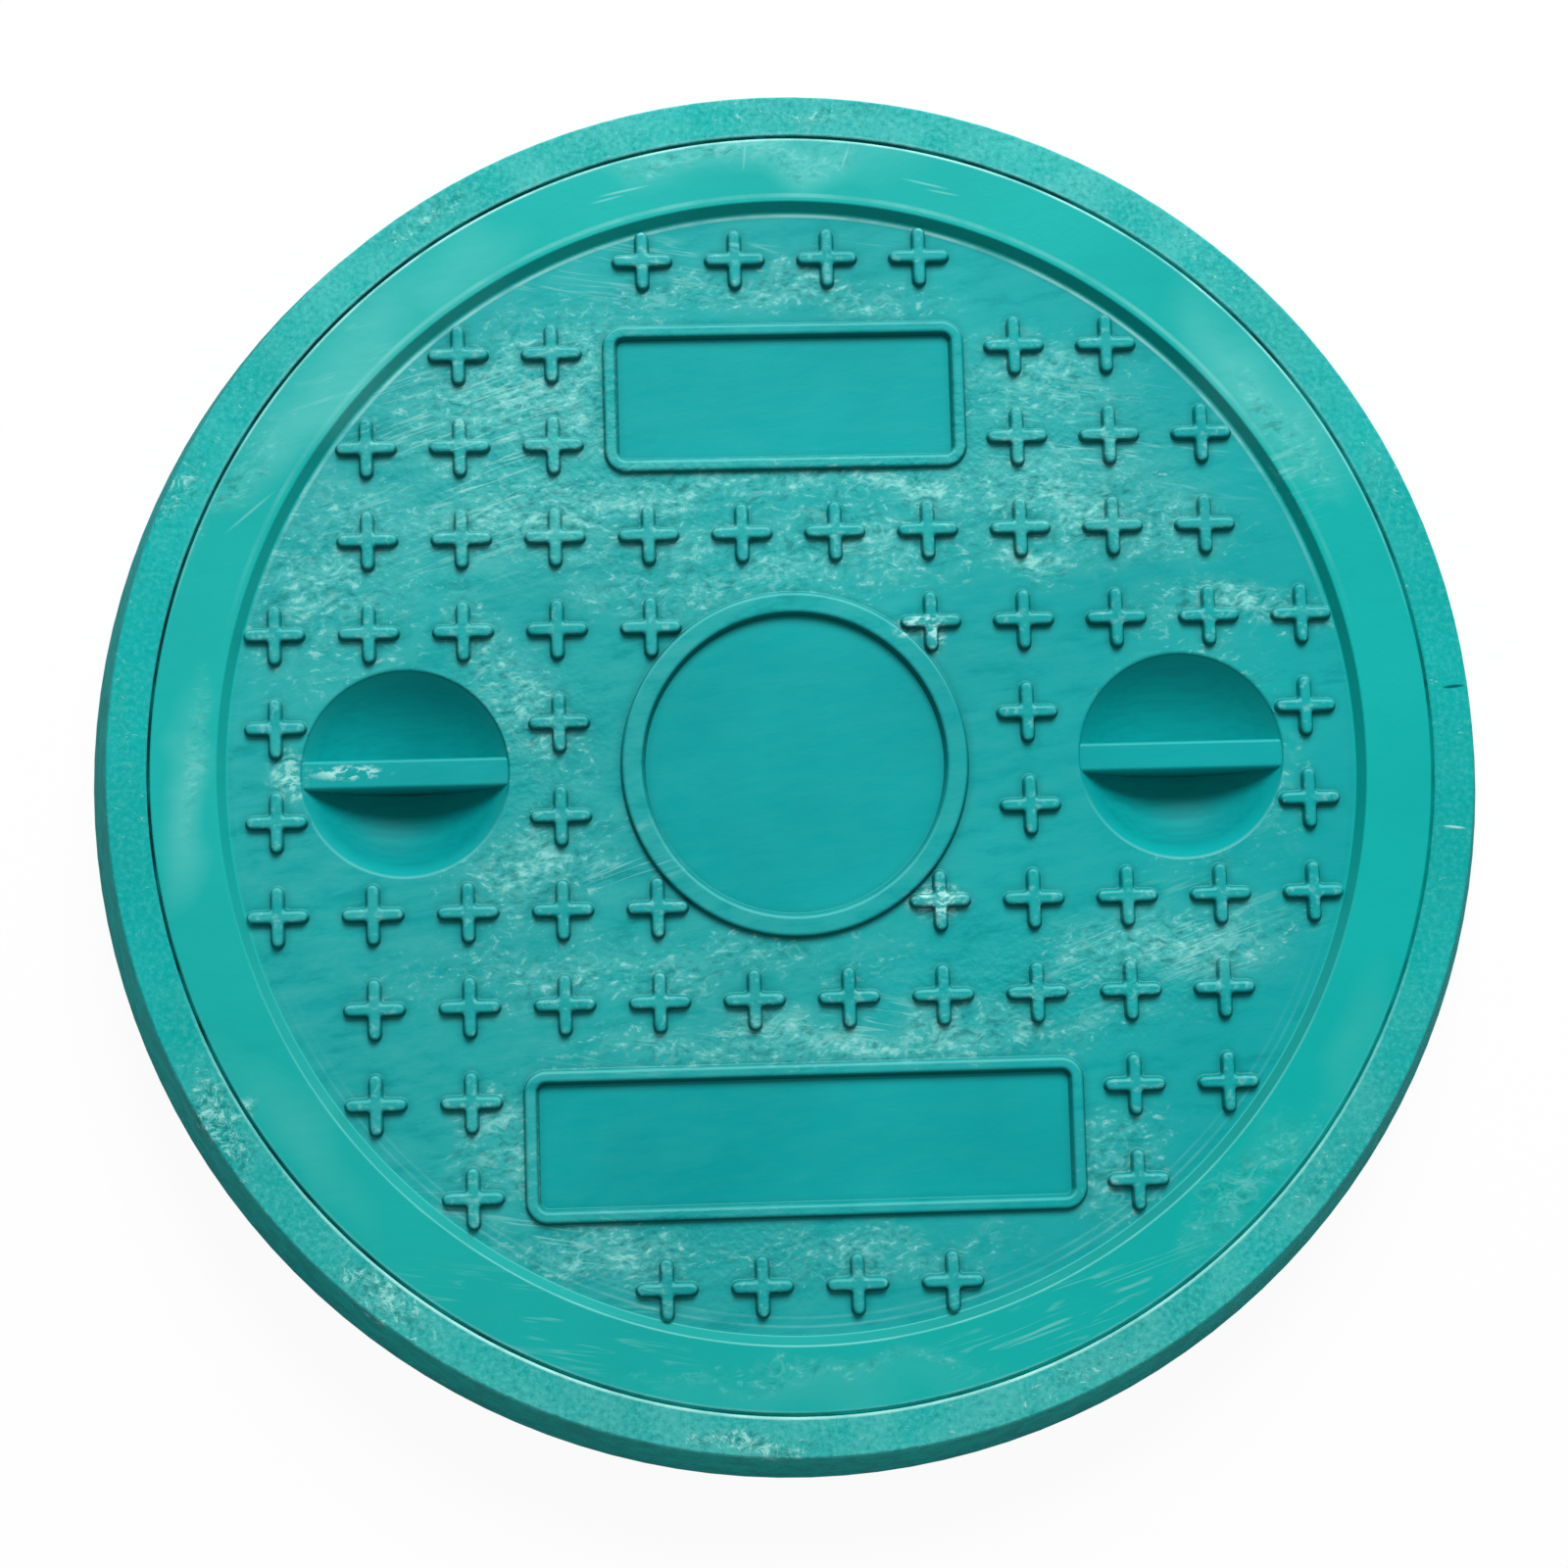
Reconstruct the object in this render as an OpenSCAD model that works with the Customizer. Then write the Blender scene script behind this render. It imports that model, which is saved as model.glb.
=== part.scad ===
// Round moulded access cover seated in its ring frame. Millimetres, +Z up, standing on z = 0.
// X runs through the two lift recesses, Y from the long marking plate to the short one.

/* [Cover] */
// Diameter of the cover at the top
cover_d = 300; // [250:1:360]
// Inward lean of the cover's side and of the frame's bore, in degrees
side_draft = 1.5; // [0.5:0.1:3]
// Width of the flat rim around the field
rim_w = 15.4; // [10:0.2:20]
// Width of the slope from the rim down to the field
step_w = 2; // [1.4:0.1:4]
// Depth of the field below the rim
step_h = 3; // [2.4:0.1:4]
// Thickness of the cover under the field
skin = 8; // [5:0.5:10]
// Radius of the rounded top edges of cover and frame
edge_r = 0.6; // [0.3:0.1:1.5]
// Radius along the inner edge of the rim
rim_edge_r = 0.6; // [0.3:0.1:1]

/* [Frame] */
// Height of the frame, which is also that of the whole set
frame_h = 30; // [26:0.5:40]
// Gap between cover and frame at the top, all round
seat_gap = 0.6; // [0.4:0.1:2]
// Width of the band that shows around the cover
band_w = 9.4; // [6:0.2:16]
// Distance that the frame's foot stands out past the band
flare = 7; // [3:0.5:14]
// Height of the upright edge at the frame's foot
foot_h = 4; // [1:0.5:8]
// Width of the ledge that carries the cover, inwards from the bore
ledge_w = 14.6; // [8:0.2:20]
// Height of the ledge above the ground
ledge_h = 12; // [8:0.5:14]

/* [Underside] */
// Gap between the spigot and the clear opening, all round
spigot_gap = 2; // [1:0.5:5]
// Height of the ribs' lower edges above the ground
rib_foot = 3; // [1:0.5:5]
// Spacing of the ribs
rib_pitch = 33; // [26:1:44]
// Thickness of a rib and of the spigot wall
rib_t = 5; // [3:0.5:8]
// Corner radius of the pockets between the ribs
pocket_r = 3; // [1:0.5:6]

/* [Grip crosses] */
// Spacing of the crosses
cross_pitch = 22; // [19:0.5:26]
// Length of a cross from tip to tip
cross_len = 14.7; // [10:0.1:17]
// Width of a cross's arm, at the field
cross_w = 3.6; // [3:0.1:4.6]
// Height of a cross above the field
cross_h = 2; // [1.2:0.1:2.4]
// Outward lean of the sides of an arm, in degrees
cross_draft = 18; // [5:1:24]
// Least distance from the middle of a cross to the edge of the field
cross_margin = 6; // [4:0.5:20]

/* [Raised lines] */
// Outward lean of the sides of the boss ring and the plates' ridges, in degrees
relief_draft = 22; // [5:1:30]
// Radius along the top edges of raised lines and crosses
relief_edge_r = 0.5; // [0.2:0.1:0.7]
// Depth of the floors inside them, below the field
floor_drop = 0.6; // [0.2:0.1:1.5]

/* [Centre boss] */
// Outer diameter of the raised ring at the centre, at the field
boss_d = 82; // [60:0.5:92]
// Width of the raised ring, at the field
boss_ring_w = 5.7; // [4:0.1:8]
// Height of the raised ring above the field
boss_h = 1.8; // [1:0.1:2.4]

/* [Marking plates] */
// Length of the short plate, over its ridge
short_plate_l = 86.2; // [60:0.2:100]
// Length of the long plate, over its ridge
long_plate_l = 130.4; // [90:0.2:150]
// Width of both plates, over their ridges
plate_w = 35.8; // [26:0.2:42]
// Distance from the middle of a plate's long side to the edge of the field
plate_margin = 27; // [22:0.5:32]
// Outer corner radius of the ridges
plate_corner_r = 5.4; // [4.6:0.1:9]
// Width of the ridges, at the field
ridge_w = 3.5; // [2.8:0.1:4.2]
// Height of the ridges above the field
ridge_h = 1.6; // [0.8:0.1:2]

/* [Lift recesses] */
// Diameter of a lift recess at the field, inside its rounded lip
dish_d = 48; // [40:0.5:54]
// Depth of a lift recess
dish_depth = 12.5; // [9:0.5:14]
// Distance from a lift recess to the edge of the field
dish_margin = 17.5; // [12:0.5:22]
// Radius of the lip around a lift recess
lip_r = 1.6; // [0.8:0.1:2]
// Width of the grip web across a recess, at its top
web_w = 6.8; // [5:0.1:9]
// Lean of each side of the web, in degrees
web_draft = 3; // [1:0.5:6]
// Depth of the web's top below the field
web_drop = 0.5; // [0.2:0.1:1.5]
// Radius along the top edges of the web
web_edge_r = 0.9; // [0.4:0.1:1.5]
// Wall under a recess
cup_wall = 5; // [3:0.5:6]

/* [Hidden] */

teal = [0.10, 0.66, 0.64];
teal_frame = [0.13, 0.60, 0.57];

// Depth by which cuts and raised details run past the faces that they start from
past = 1;

cover_r = cover_d / 2;
side_run = tan(side_draft) * (frame_h - ledge_h);
rim_inner_r = cover_r - rim_w;
field_r = rim_inner_r - step_w;
field_z = frame_h - step_h;
floor_z = field_z - floor_drop;
skin_z = field_z - skin;
bore_r = cover_r + seat_gap;
frame_top_r = bore_r + band_w;
frame_foot_r = frame_top_r + flare;
clear_r = bore_r - ledge_w;
spigot_r = clear_r - spigot_gap;
pocket_reach = spigot_r - rib_t;
pocket_side = rib_pitch - rib_t;
boss_r = boss_d / 2;
plate_y = field_r - plate_margin - plate_w / 2;
dish_r = dish_d / 2;
dish_x = field_r - dish_margin - dish_r;
bowl_r = (dish_r ^ 2 + dish_depth ^ 2) / (2 * dish_depth);
bowl_z = field_z - dish_depth + bowl_r;
cup_r = dish_r + cup_wall;
cup_foot = field_z - dish_depth - cup_wall;
small_fn = 24;
big_fn = 180;
round_steps = 6;
fine_steps = 3;

// Middles of the crosses: a square grid at half spacings, kept clear of everything else on the field
cross_reach = field_r - cross_margin;
grid_n = ceil(cross_reach / cross_pitch);
grid_at = [for (i = [-grid_n : grid_n - 1]) (i + 0.5) * cross_pitch];
function on_plate(x, y, length, middle) =
    abs(x) < (length + cross_len) / 2 && abs(y - middle) < (plate_w + cross_len) / 2;
function is_free(x, y) =
    norm([x, y]) <= cross_reach
    && norm([x, y]) > boss_r + cross_w
    && norm([abs(x) - dish_x, y]) > dish_r + cross_len / 2
    && !on_plate(x, y, short_plate_l, plate_y)
    && !on_plate(x, y, long_plate_l, -plate_y);

// Points along a rounded top corner, from the side up to the top, where the side leans out downwards
function corner_points(corner_x, top_z, radius, lean, steps = round_steps) =
    let (x = corner_x + radius * (tan(lean) - 1 / cos(lean)), z = top_z - radius)
    [for (k = [0 : steps]) let (turn = lean + (90 - lean) * k / steps)
        [x + radius * cos(turn), z + radius * sin(turn)]];
// The same points on the other side of the line x = 0, in the opposite order
function mirrored(points) = [for (k = [len(points) - 1 : -1 : 0]) [-points[k][0], points[k][1]]];

// Half of the section of a raised detail: a leaning side, a rounded top edge, a root sunk below the floors
function half_points(width, height, lean) =
    let (root = width / 2 + tan(lean) * (floor_drop + past))
    concat(
        [[root, floor_z - past]],
        corner_points(width / 2 - tan(lean) * height, field_z + height, relief_edge_r, lean, fine_steps)
    );
// Section of a raised line
module line_section(width, height) {
    half = half_points(width, height, relief_draft);
    polygon(concat(half, mirrored(half)));
}

// Ring frame: a ledge inside, a leaning outer wall, rounded edges at ground level
module frame_section() {
    lean = atan(flare / (frame_h - foot_h));
    polygon(concat(
        [[clear_r, 0], [frame_foot_r - past / 2, 0], [frame_foot_r, past / 2], [frame_foot_r, foot_h]],
        corner_points(frame_top_r, frame_h, edge_r, lean),
        mirrored(corner_points(-bore_r, frame_h, edge_r, side_draft)),
        [[bore_r - side_run, ledge_h], [clear_r + past, ledge_h], [clear_r, ledge_h - past]]
    ));
}

module frame() {
    color(teal_frame) rotate_extrude($fn = big_fn) frame_section();
}

// Solid of the cover before its pockets: rim, slope to the field, seat and spigot
module blank_section() {
    step_lean = atan(step_w / step_h);
    polygon(concat(
        [[0, rib_foot], [spigot_r - past, rib_foot], [spigot_r, rib_foot + past], [spigot_r, ledge_h]],
        [[cover_r - side_run - past / 2, ledge_h], [cover_r - side_run, ledge_h + past / 2]],
        corner_points(cover_r, frame_h, edge_r, -side_draft),
        mirrored(corner_points(-rim_inner_r, frame_h, rim_edge_r, step_lean)),
        [[field_r, field_z], [0, field_z]]
    ));
}

// One bar of a cross: a straight length between two half turns of the same section
module cross_bar() {
    straight = cross_len - cross_w;
    half = half_points(cross_w, cross_h, cross_draft);
    rotate([90, 0, 90]) linear_extrude(straight, center = true) polygon(concat(half, mirrored(half)));
    for (side = [-1, 1]) {
        translate([side * straight / 2, 0, 0]) rotate([0, 0, -side * 90])
            rotate_extrude(angle = 180, $fn = small_fn)
                polygon(concat([[0, floor_z - past]], half, [[0, field_z + cross_h]]));
    }
}

module cross() {
    for (turn = [0, 90]) rotate([0, 0, turn]) cross_bar();
}

module crosses() {
    for (x = grid_at) {
        for (y = grid_at) {
            if (is_free(x, y)) translate([x, y, 0]) cross();
        }
    }
}

// Rounded rectangle, solid
module plate_outline(length, width, corner) {
    square([length - 2 * corner, width], center = true);
    square([length, width - 2 * corner], center = true);
    for (x = [-1, 1]) {
        for (y = [-1, 1]) {
            translate([x * (length / 2 - corner), y * (width / 2 - corner)]) circle(corner, $fn = small_fn);
        }
    }
}

// Floor of a plate, cut out to the middle of the ridge around it
module plate_floor(length) {
    translate([0, 0, floor_z]) linear_extrude(floor_drop + past)
        plate_outline(length - ridge_w, plate_w - ridge_w, plate_corner_r - ridge_w / 2);
}

// Ridge around a plate: four straight lengths and four quarter turns of the same section
module plate_ridge(length) {
    straight_x = length - 2 * plate_corner_r;
    straight_y = plate_w - 2 * plate_corner_r;
    for (side = [0, 1]) {
        rotate([0, 0, side * 180]) {
            translate([0, (plate_w - ridge_w) / 2, 0])
                rotate([90, 0, 90]) linear_extrude(straight_x, center = true) line_section(ridge_w, ridge_h);
            translate([(length - ridge_w) / 2, 0, 0])
                rotate([90, 0, 0]) linear_extrude(straight_y, center = true) line_section(ridge_w, ridge_h);
            for (turn = [0, 90]) {
                across = turn == 0 ? straight_x : -straight_x;
                translate([across / 2, straight_y / 2, 0])
                    rotate([0, 0, turn]) rotate_extrude(angle = 90, $fn = 2 * small_fn)
                        translate([plate_corner_r - ridge_w / 2, 0]) line_section(ridge_w, ridge_h);
            }
        }
    }
}

// Raised ring at the centre, around a floor below the field
module boss_floor() {
    translate([0, 0, floor_z]) cylinder(r = boss_r - boss_ring_w / 2, h = floor_drop + past, $fn = big_fn);
}

module boss_ring() {
    rotate_extrude($fn = big_fn) translate([boss_r - boss_ring_w / 2, 0]) line_section(boss_ring_w, boss_h);
}

// Upright web across a recess, which the hand pinches to lift the cover
module web() {
    top = field_z - web_drop;
    side = corner_points(web_w / 2, top, web_edge_r, web_draft);
    foot_x = web_w / 2 + tan(web_draft) * dish_depth;
    rotate([90, 0, 90]) linear_extrude(2 * (dish_r + lip_r + past), center = true)
        polygon(concat([[-foot_x, top - dish_depth], [foot_x, top - dish_depth]], side, mirrored(side)));
}

// Rounded lip that eases the bowl out to the field
module lip() {
    turn_z = field_z - lip_r;
    turn_x = sqrt((bowl_r + lip_r) ^ 2 - (bowl_z - turn_z) ^ 2);
    start = atan2(bowl_z - turn_z, -turn_x);
    round = [for (k = [0 : round_steps]) let (turn = start + (90 - start) * k / round_steps)
        [turn_x + lip_r * cos(turn), turn_z + lip_r * sin(turn)]];
    rotate_extrude($fn = big_fn)
        polygon(concat([[0, round[0][1]]], round, [[turn_x, field_z + past / 2], [0, field_z + past / 2]]));
}

// Bowl of a lift recess, on each side of its web
module dish() {
    difference() {
        union() {
            intersection() {
                translate([0, 0, bowl_z]) sphere(bowl_r, $fn = big_fn);
                translate([0, 0, cup_foot]) cylinder(r = dish_r, h = dish_depth + cup_wall - lip_r / 4, $fn = big_fn);
            }
            lip();
        }
        web();
    }
}

// Pockets between the ribs, cut from below, with the wall under each recess left standing
module pockets() {
    count = ceil(pocket_reach / rib_pitch);
    difference() {
        intersection() {
            translate([0, 0, rib_foot - past]) linear_extrude(skin_z - rib_foot + past) {
                for (i = [-count : count - 1]) {
                    for (j = [-count : count - 1]) {
                        middle = [(i + 0.5) * rib_pitch, (j + 0.5) * rib_pitch];
                        nearest = norm([abs(middle[0]) - pocket_side / 2, abs(middle[1]) - pocket_side / 2]);
                        if (nearest < pocket_reach - 2 * rib_t)
                            translate(middle) plate_outline(pocket_side, pocket_side, pocket_r);
                    }
                }
            }
            cylinder(r = pocket_reach, h = frame_h, $fn = big_fn);
        }
        for (side = [-1, 1]) translate([side * dish_x, 0, cup_foot]) cylinder(r = cup_r, h = frame_h, $fn = big_fn);
    }
}

module cover() {
    color(teal) {
        difference() {
            rotate_extrude($fn = big_fn) blank_section();
            boss_floor();
            translate([0, plate_y, 0]) plate_floor(short_plate_l);
            translate([0, -plate_y, 0]) plate_floor(long_plate_l);
            for (side = [-1, 1]) translate([side * dish_x, 0, 0]) dish();
            pockets();
        }
        boss_ring();
        translate([0, plate_y, 0]) plate_ridge(short_plate_l);
        translate([0, -plate_y, 0]) plate_ridge(long_plate_l);
        crosses();
    }
}

frame();
cover();
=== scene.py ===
import math

import bmesh
import bpy
from mathutils import Matrix, Vector


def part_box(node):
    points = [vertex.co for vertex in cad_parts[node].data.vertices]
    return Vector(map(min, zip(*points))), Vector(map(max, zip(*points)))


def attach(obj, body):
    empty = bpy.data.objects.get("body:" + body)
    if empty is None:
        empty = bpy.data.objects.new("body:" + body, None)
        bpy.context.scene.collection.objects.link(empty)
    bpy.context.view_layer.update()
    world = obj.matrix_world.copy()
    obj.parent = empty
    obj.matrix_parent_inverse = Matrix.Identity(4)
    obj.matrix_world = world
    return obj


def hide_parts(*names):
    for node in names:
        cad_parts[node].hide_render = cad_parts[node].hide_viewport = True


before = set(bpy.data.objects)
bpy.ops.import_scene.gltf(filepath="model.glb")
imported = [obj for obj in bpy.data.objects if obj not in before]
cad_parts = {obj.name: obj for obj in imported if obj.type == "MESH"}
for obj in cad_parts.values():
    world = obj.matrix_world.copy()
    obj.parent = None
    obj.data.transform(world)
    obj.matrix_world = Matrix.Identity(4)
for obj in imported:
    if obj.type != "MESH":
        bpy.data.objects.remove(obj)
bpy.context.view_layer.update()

bl_info = {
    "name": "Access cover",
    "version": (1, 0, 0),
    "blender": (4, 5, 0),
    "location": "3D View > Sidebar > Access cover",
    "description": "Makes the visible surfaces of a round moulded access cover in its ring frame",
    "category": "Object",
}

COVER_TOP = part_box("cover")[1].z
COVER_DIAMETER = 0.300
MM = 0.001
# How far the edge of one surface lies below the next, so that no two of them share a height
SUNK = 0.015 * MM
# Nearest distance of two points before they are welded
WELD = 0.001 * MM
SEAT_CHAMFER = 0.5 * MM
STEP_FOOT_RADIUS = 0.5 * MM
# How far the sections of the rim, the raised lines, the crosses and the lips of the recesses run on under the field
RIM_LAP, LINE_LAP, CROSS_LAP, LIP_LAP = 1.5 * MM, 1.0 * MM, 0.6 * MM, 0.6 * MM
LIP_SUNK = 0.1 * MM
# The field begins this far inside the foot of the slope, and a web is this much longer than its opening
FIELD_INSET, WEB_OVERRUN = 0.2 * MM, 0.8 * MM
# Steps of a full turn, for the cover's edge, the ring at the centre and a recess
EDGE_STEPS, BOSS_STEPS, RECESS_STEPS = 288, 144, 96
# Steps of a plate's corner, of the lip of a recess and of its bowl, and halvings in the search for a cross's outline
CORNER_STEPS, LIP_STEPS, BOWL_STEPS, HALVINGS = 9, 8, 18, 30
# Painted shade darkens corners within this reach
CORNER_REACH, CORNER_SAMPLES = 2.2 * MM, 3
BUMP_STRENGTH, BUMP_DISTANCE = 0.6, 0.15 * MM
# Directions of brush marks and of the two sets of scratches, in degrees from X
BRUSH_TURN, RISING_TURN, FALLING_TURN = 8, 19, -9

LAMP_WATTS = 34.0
LAMP_SIZE = 1.0
LAMP_PLACE = (0.22, 1.27, 1.33)
SKY_STRENGTH = 0.28
FLOOR_HALF = 30.0
# Share of plain white in the floor that the camera sees; the rest shows the object's shadow
FLOOR_GLOW = 0.94
FLOOR_GREY = 0.8
SENSOR_WIDTH = 36.0
LENS = 74.25
LENS_SHIFT = 0.0016
CLIP_START = 0.01
CAMERA_PLACE = (-0.0370, -0.0849, 0.7799)
CAMERA_TURNS = (-6.085, 2.546, 1.376)


def srgb(red, green, blue):
    """Turns a colour in steps of 255 into the linear values that a shader takes."""
    return tuple(((v / 255 + 0.055) / 1.055) ** 2.4 if v > 10 else v / 255 / 12.92 for v in (red, green, blue))


def length(name, description, millimetres):
    return bpy.props.FloatProperty(
        name=name, description=description, default=millimetres * MM, min=0.0, precision=4, unit="LENGTH"
    )


def slant(name, description, degrees):
    return bpy.props.FloatProperty(
        name=name, description=description, default=math.radians(degrees), unit="ROTATION"
    )


def amount(name, description, default):
    return bpy.props.FloatProperty(name=name, description=description, default=default, min=0.0, subtype="FACTOR")


def colour(name, description, *default):
    return bpy.props.FloatVectorProperty(
        name=name, description=description, default=srgb(*default), min=0.0, max=1.0, subtype="COLOR"
    )


class CoverPlateSizes(bpy.types.PropertyGroup):
    diameter: length("Diameter", "Diameter of the cover at the top", COVER_DIAMETER / MM)
    seat_height: length("Seat height", "Height of the face that rests on the frame's ledge", 12)
    side_draft: slant("Side draft", "Inward lean of the cover's side", 1.5)
    edge_radius: length("Edge radius", "Radius of the rounded outer edge", 0.5)
    rim_width: length("Rim width", "Width of the flat rim around the field", 15.4)
    rim_edge_radius: length("Rim edge radius", "Radius along the inner edge of the rim", 0.6)
    step_width: length("Step width", "Width of the slope from the rim to the field", 2)
    step_depth: length("Step depth", "Depth of the field below the rim", 3)
    floor_drop: length("Floor drop", "Depth of the floors inside the raised lines, below the field", 0.6)
    skin: length("Skin", "Thickness of the cover under the field", 8)
    dirt_depth: length("Dirt depth", "Depth of the dirt in the joint, below the top", 0.3)
    dirt_height: length("Dirt height", "Height of the ring of dirt in the joint", 0.5)
    dirt_inward: length("Dirt inward", "Reach of the dirt under the cover's rounded edge", 0.3)
    dirt_outward: length("Dirt outward", "Reach of the dirt across the joint to the frame", 0.62)


class ReliefSizes(bpy.types.PropertyGroup):
    draft: slant("Draft", "Lean of the sides of the raised lines", 22)
    top_radius: length("Top radius", "Radius along the top edges of the raised lines", 0.95)
    foot_radius: length("Foot radius", "Radius where a raised line meets the field", 0.35)
    boss_diameter: length("Boss diameter", "Outer diameter of the ring at the centre", 82)
    boss_width: length("Boss width", "Width of the ring at the centre", 5.7)
    boss_height: length("Boss height", "Height of the ring above the field", 1.8)
    short_plate: length("Short plate", "Length of the short marking plate", 86.2)
    long_plate: length("Long plate", "Length of the long marking plate", 130.4)
    plate_width: length("Plate width", "Width of both marking plates", 35.8)
    plate_margin: length("Plate margin", "Distance from a plate to the edge of the field", 27)
    plate_corner: length("Plate corner", "Outer corner radius of the ridges", 5.4)
    ridge_width: length("Ridge width", "Width of the ridges around the plates", 3.5)
    ridge_height: length("Ridge height", "Height of the ridges above the field", 1.6)


class RecessSizes(bpy.types.PropertyGroup):
    diameter: length("Diameter", "Diameter of a lift recess inside its lip", 48.8)
    depth: length("Depth", "Depth of a lift recess", 12.5)
    margin: length("Margin", "Distance from a recess to the edge of the field", 17.0)
    lip_radius: length("Lip radius", "Radius of the lip around a recess", 1.1)
    web_width: length("Web width", "Width of the grip web at its top", 6.8)
    web_draft: slant("Web draft", "Lean of each side of the web", 3)
    web_drop: length("Web drop", "Depth of the web's top below the field", 0.5)
    web_radius: length("Web radius", "Radius along the top edges of the web", 0.9)


class CrossSizes(bpy.types.PropertyGroup):
    pitch: length("Pitch", "Spacing of the crosses", 22)
    length: length("Length", "Length of a cross from tip to tip", 14.7)
    width: length("Width", "Width of an arm where it meets the field", 3.6)
    height: length("Height", "Height of a cross above the field", 2)
    margin: length("Margin", "Least distance from the middle of a cross to the edge of the field", 6)
    draft: slant("Draft", "Lean of an arm's sides", 18)
    top_radius: length("Top radius", "Radius along the top of an arm", 0.85)
    foot_radius: length("Foot radius", "Radius where an arm meets the field", 0.3)


class FinishSettings(bpy.types.PropertyGroup):
    resin: colour("Resin", "Colour of the clean resin", 6, 169, 170)
    resin_deep: colour("Resin, deep", "Darker tone of the clean resin", 0, 158, 160)
    rim: colour("Rim resin", "Colour of the rim", 6, 180, 174)
    rim_deep: colour("Rim resin, deep", "Darker tone of the rim", 0, 173, 168)
    frame_resin: colour("Frame resin", "Colour of the frame", 6, 179, 175)
    frame_deep: colour("Frame resin, deep", "Darker tone of the frame", 0, 169, 165)
    film: colour("Film", "Colour of the pale film of dust and wear", 112, 212, 205)
    # This colour is also used for painted highlights on light-facing shoulders and in thin rings along edges
    fleck_and_highlight: colour("Fleck", "Colour of scuffs where the resin has turned pale", 186, 248, 242)
    # This colour is also used for painted shade on flanks, in corners, on the step wall, in the bowls and on the
    # frame's walls
    grime_and_shade: colour("Grime", "Colour of the dirt in hollows and pits", 2, 84, 84)
    # The dark tone is also painted shade, on the side where the joint lies in shade
    dark_joint_dirt_and_shade: colour("Joint, dark", "Darkest tone of the dirt in the joint", 0, 50, 52)
    pale_joint_dirt_in_light: colour("Joint, pale", "Palest tone of the dirt in the joint", 0, 150, 145)
    wear: amount("Wear", "Strength of scuffs and film", 1.0)
    gloss: bpy.props.FloatProperty(
        name="Roughness", description="Roughness of the clean resin", default=0.42, min=0.0, max=1.0, subtype="FACTOR"
    )
    floor: colour("Floor", "Colour of the studio floor", 255, 255, 255)


def plate_sizes():
    return bpy.context.scene.access_cover_plate


def relief_sizes():
    return bpy.context.scene.access_cover_relief


def recess_sizes():
    return bpy.context.scene.access_cover_recess


def cross_sizes():
    return bpy.context.scene.access_cover_cross


def finish_settings():
    return bpy.context.scene.access_cover_finish


def field_radius():
    plate = plate_sizes()
    return plate.diameter / 2 - plate.rim_width - plate.step_width


def field_height():
    return COVER_TOP - plate_sizes().step_depth


def floor_height():
    return field_height() - plate_sizes().floor_drop


def plate_middle():
    relief = relief_sizes()
    return field_radius() - relief.plate_margin - relief.plate_width / 2


def plate_lines():
    """The values for PLATE_LINES, the lines that the ridges around both plates follow."""
    relief = relief_sizes()
    width = relief.ridge_width
    values = (
        relief.short_plate - width, relief.long_plate - width, relief.plate_width - width,
        relief.plate_corner - width / 2, plate_middle(),
    )
    return dict(zip(PLATE_LINES, values))


def boss_path():
    relief = relief_sizes()
    return (relief.boss_diameter - relief.boss_width) / 2


def recess_middle():
    recess = recess_sizes()
    return field_radius() - recess.margin - recess.diameter / 2


# Node trees: a small helper class, then the geometry trees that shape the pieces


class Graph:
    """Puts nodes in a tree. An input takes a plain value or the output of another node."""

    def __init__(self, tree):
        self.tree = tree

    def node(self, kind, inputs=None, **settings):
        made = self.tree.nodes.new(kind)
        for name, value in settings.items():
            setattr(made, name, value)
        for key, value in (inputs or {}).items():
            if isinstance(value, bpy.types.NodeSocket):
                self.tree.links.new(value, made.inputs[key])
            else:
                made.inputs[key].default_value = value
        return made

    def math(self, operation, *values, clamp=False):
        made = self.node("ShaderNodeMath", dict(enumerate(values)), operation=operation)
        made.use_clamp = clamp
        return made.outputs[0]

    def vector(self, operation, *values):
        made = self.node("ShaderNodeVectorMath", dict(enumerate(values)), operation=operation)
        return made.outputs["Value" if operation in ("LENGTH", "DOT_PRODUCT", "DISTANCE") else "Vector"]

    def along(self, x=0.0, y=0.0, z=0.0):
        return self.node("ShaderNodeCombineXYZ", {"X": x, "Y": y, "Z": z}).outputs[0]


PLATE_LINES = ("Short Length", "Long Length", "Width", "Corner", "Middle")


def shape_tree(name, sizes, counts=()):
    """Starts a geometry tree with a mesh input, the named sizes and counts, a finish and a mesh output."""
    tree = bpy.data.node_groups.new(name, "GeometryNodeTree")
    inputs = {"Section": "Geometry", **dict.fromkeys(sizes, "Float"), **dict.fromkeys(counts, "Int")}
    for label, kind in {**inputs, "Finish": "Material"}.items():
        tree.interface.new_socket(label, in_out="INPUT", socket_type="NodeSocket" + kind)
    tree.interface.new_socket("Shape", in_out="OUTPUT", socket_type="NodeSocketGeometry")
    graph = Graph(tree)
    return graph, graph.node("NodeGroupInput").outputs


def close_tree(graph, given, geometry):
    """Ends a geometry tree: welded, smooth, real geometry with its finish."""
    welded = graph.node("GeometryNodeMergeByDistance", {"Geometry": geometry, "Distance": WELD})
    smooth = graph.node("GeometryNodeSetShadeSmooth", {"Geometry": welded.outputs[0]})
    real = graph.node("GeometryNodeRealizeInstances", {"Geometry": smooth.outputs[0]})
    finished = graph.node("GeometryNodeSetMaterial", {"Geometry": real.outputs[0], "Material": given["Finish"]})
    graph.node("NodeGroupOutput", {"Shape": finished.outputs[0]})
    return graph.tree


def sweep(graph, path, section, caps=False):
    profile = graph.node("GeometryNodeMeshToCurve", {"Mesh": section}).outputs[0]
    return graph.node(
        "GeometryNodeCurveToMesh", {"Curve": path, "Profile Curve": profile, "Fill Caps": caps}
    ).outputs[0]


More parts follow.
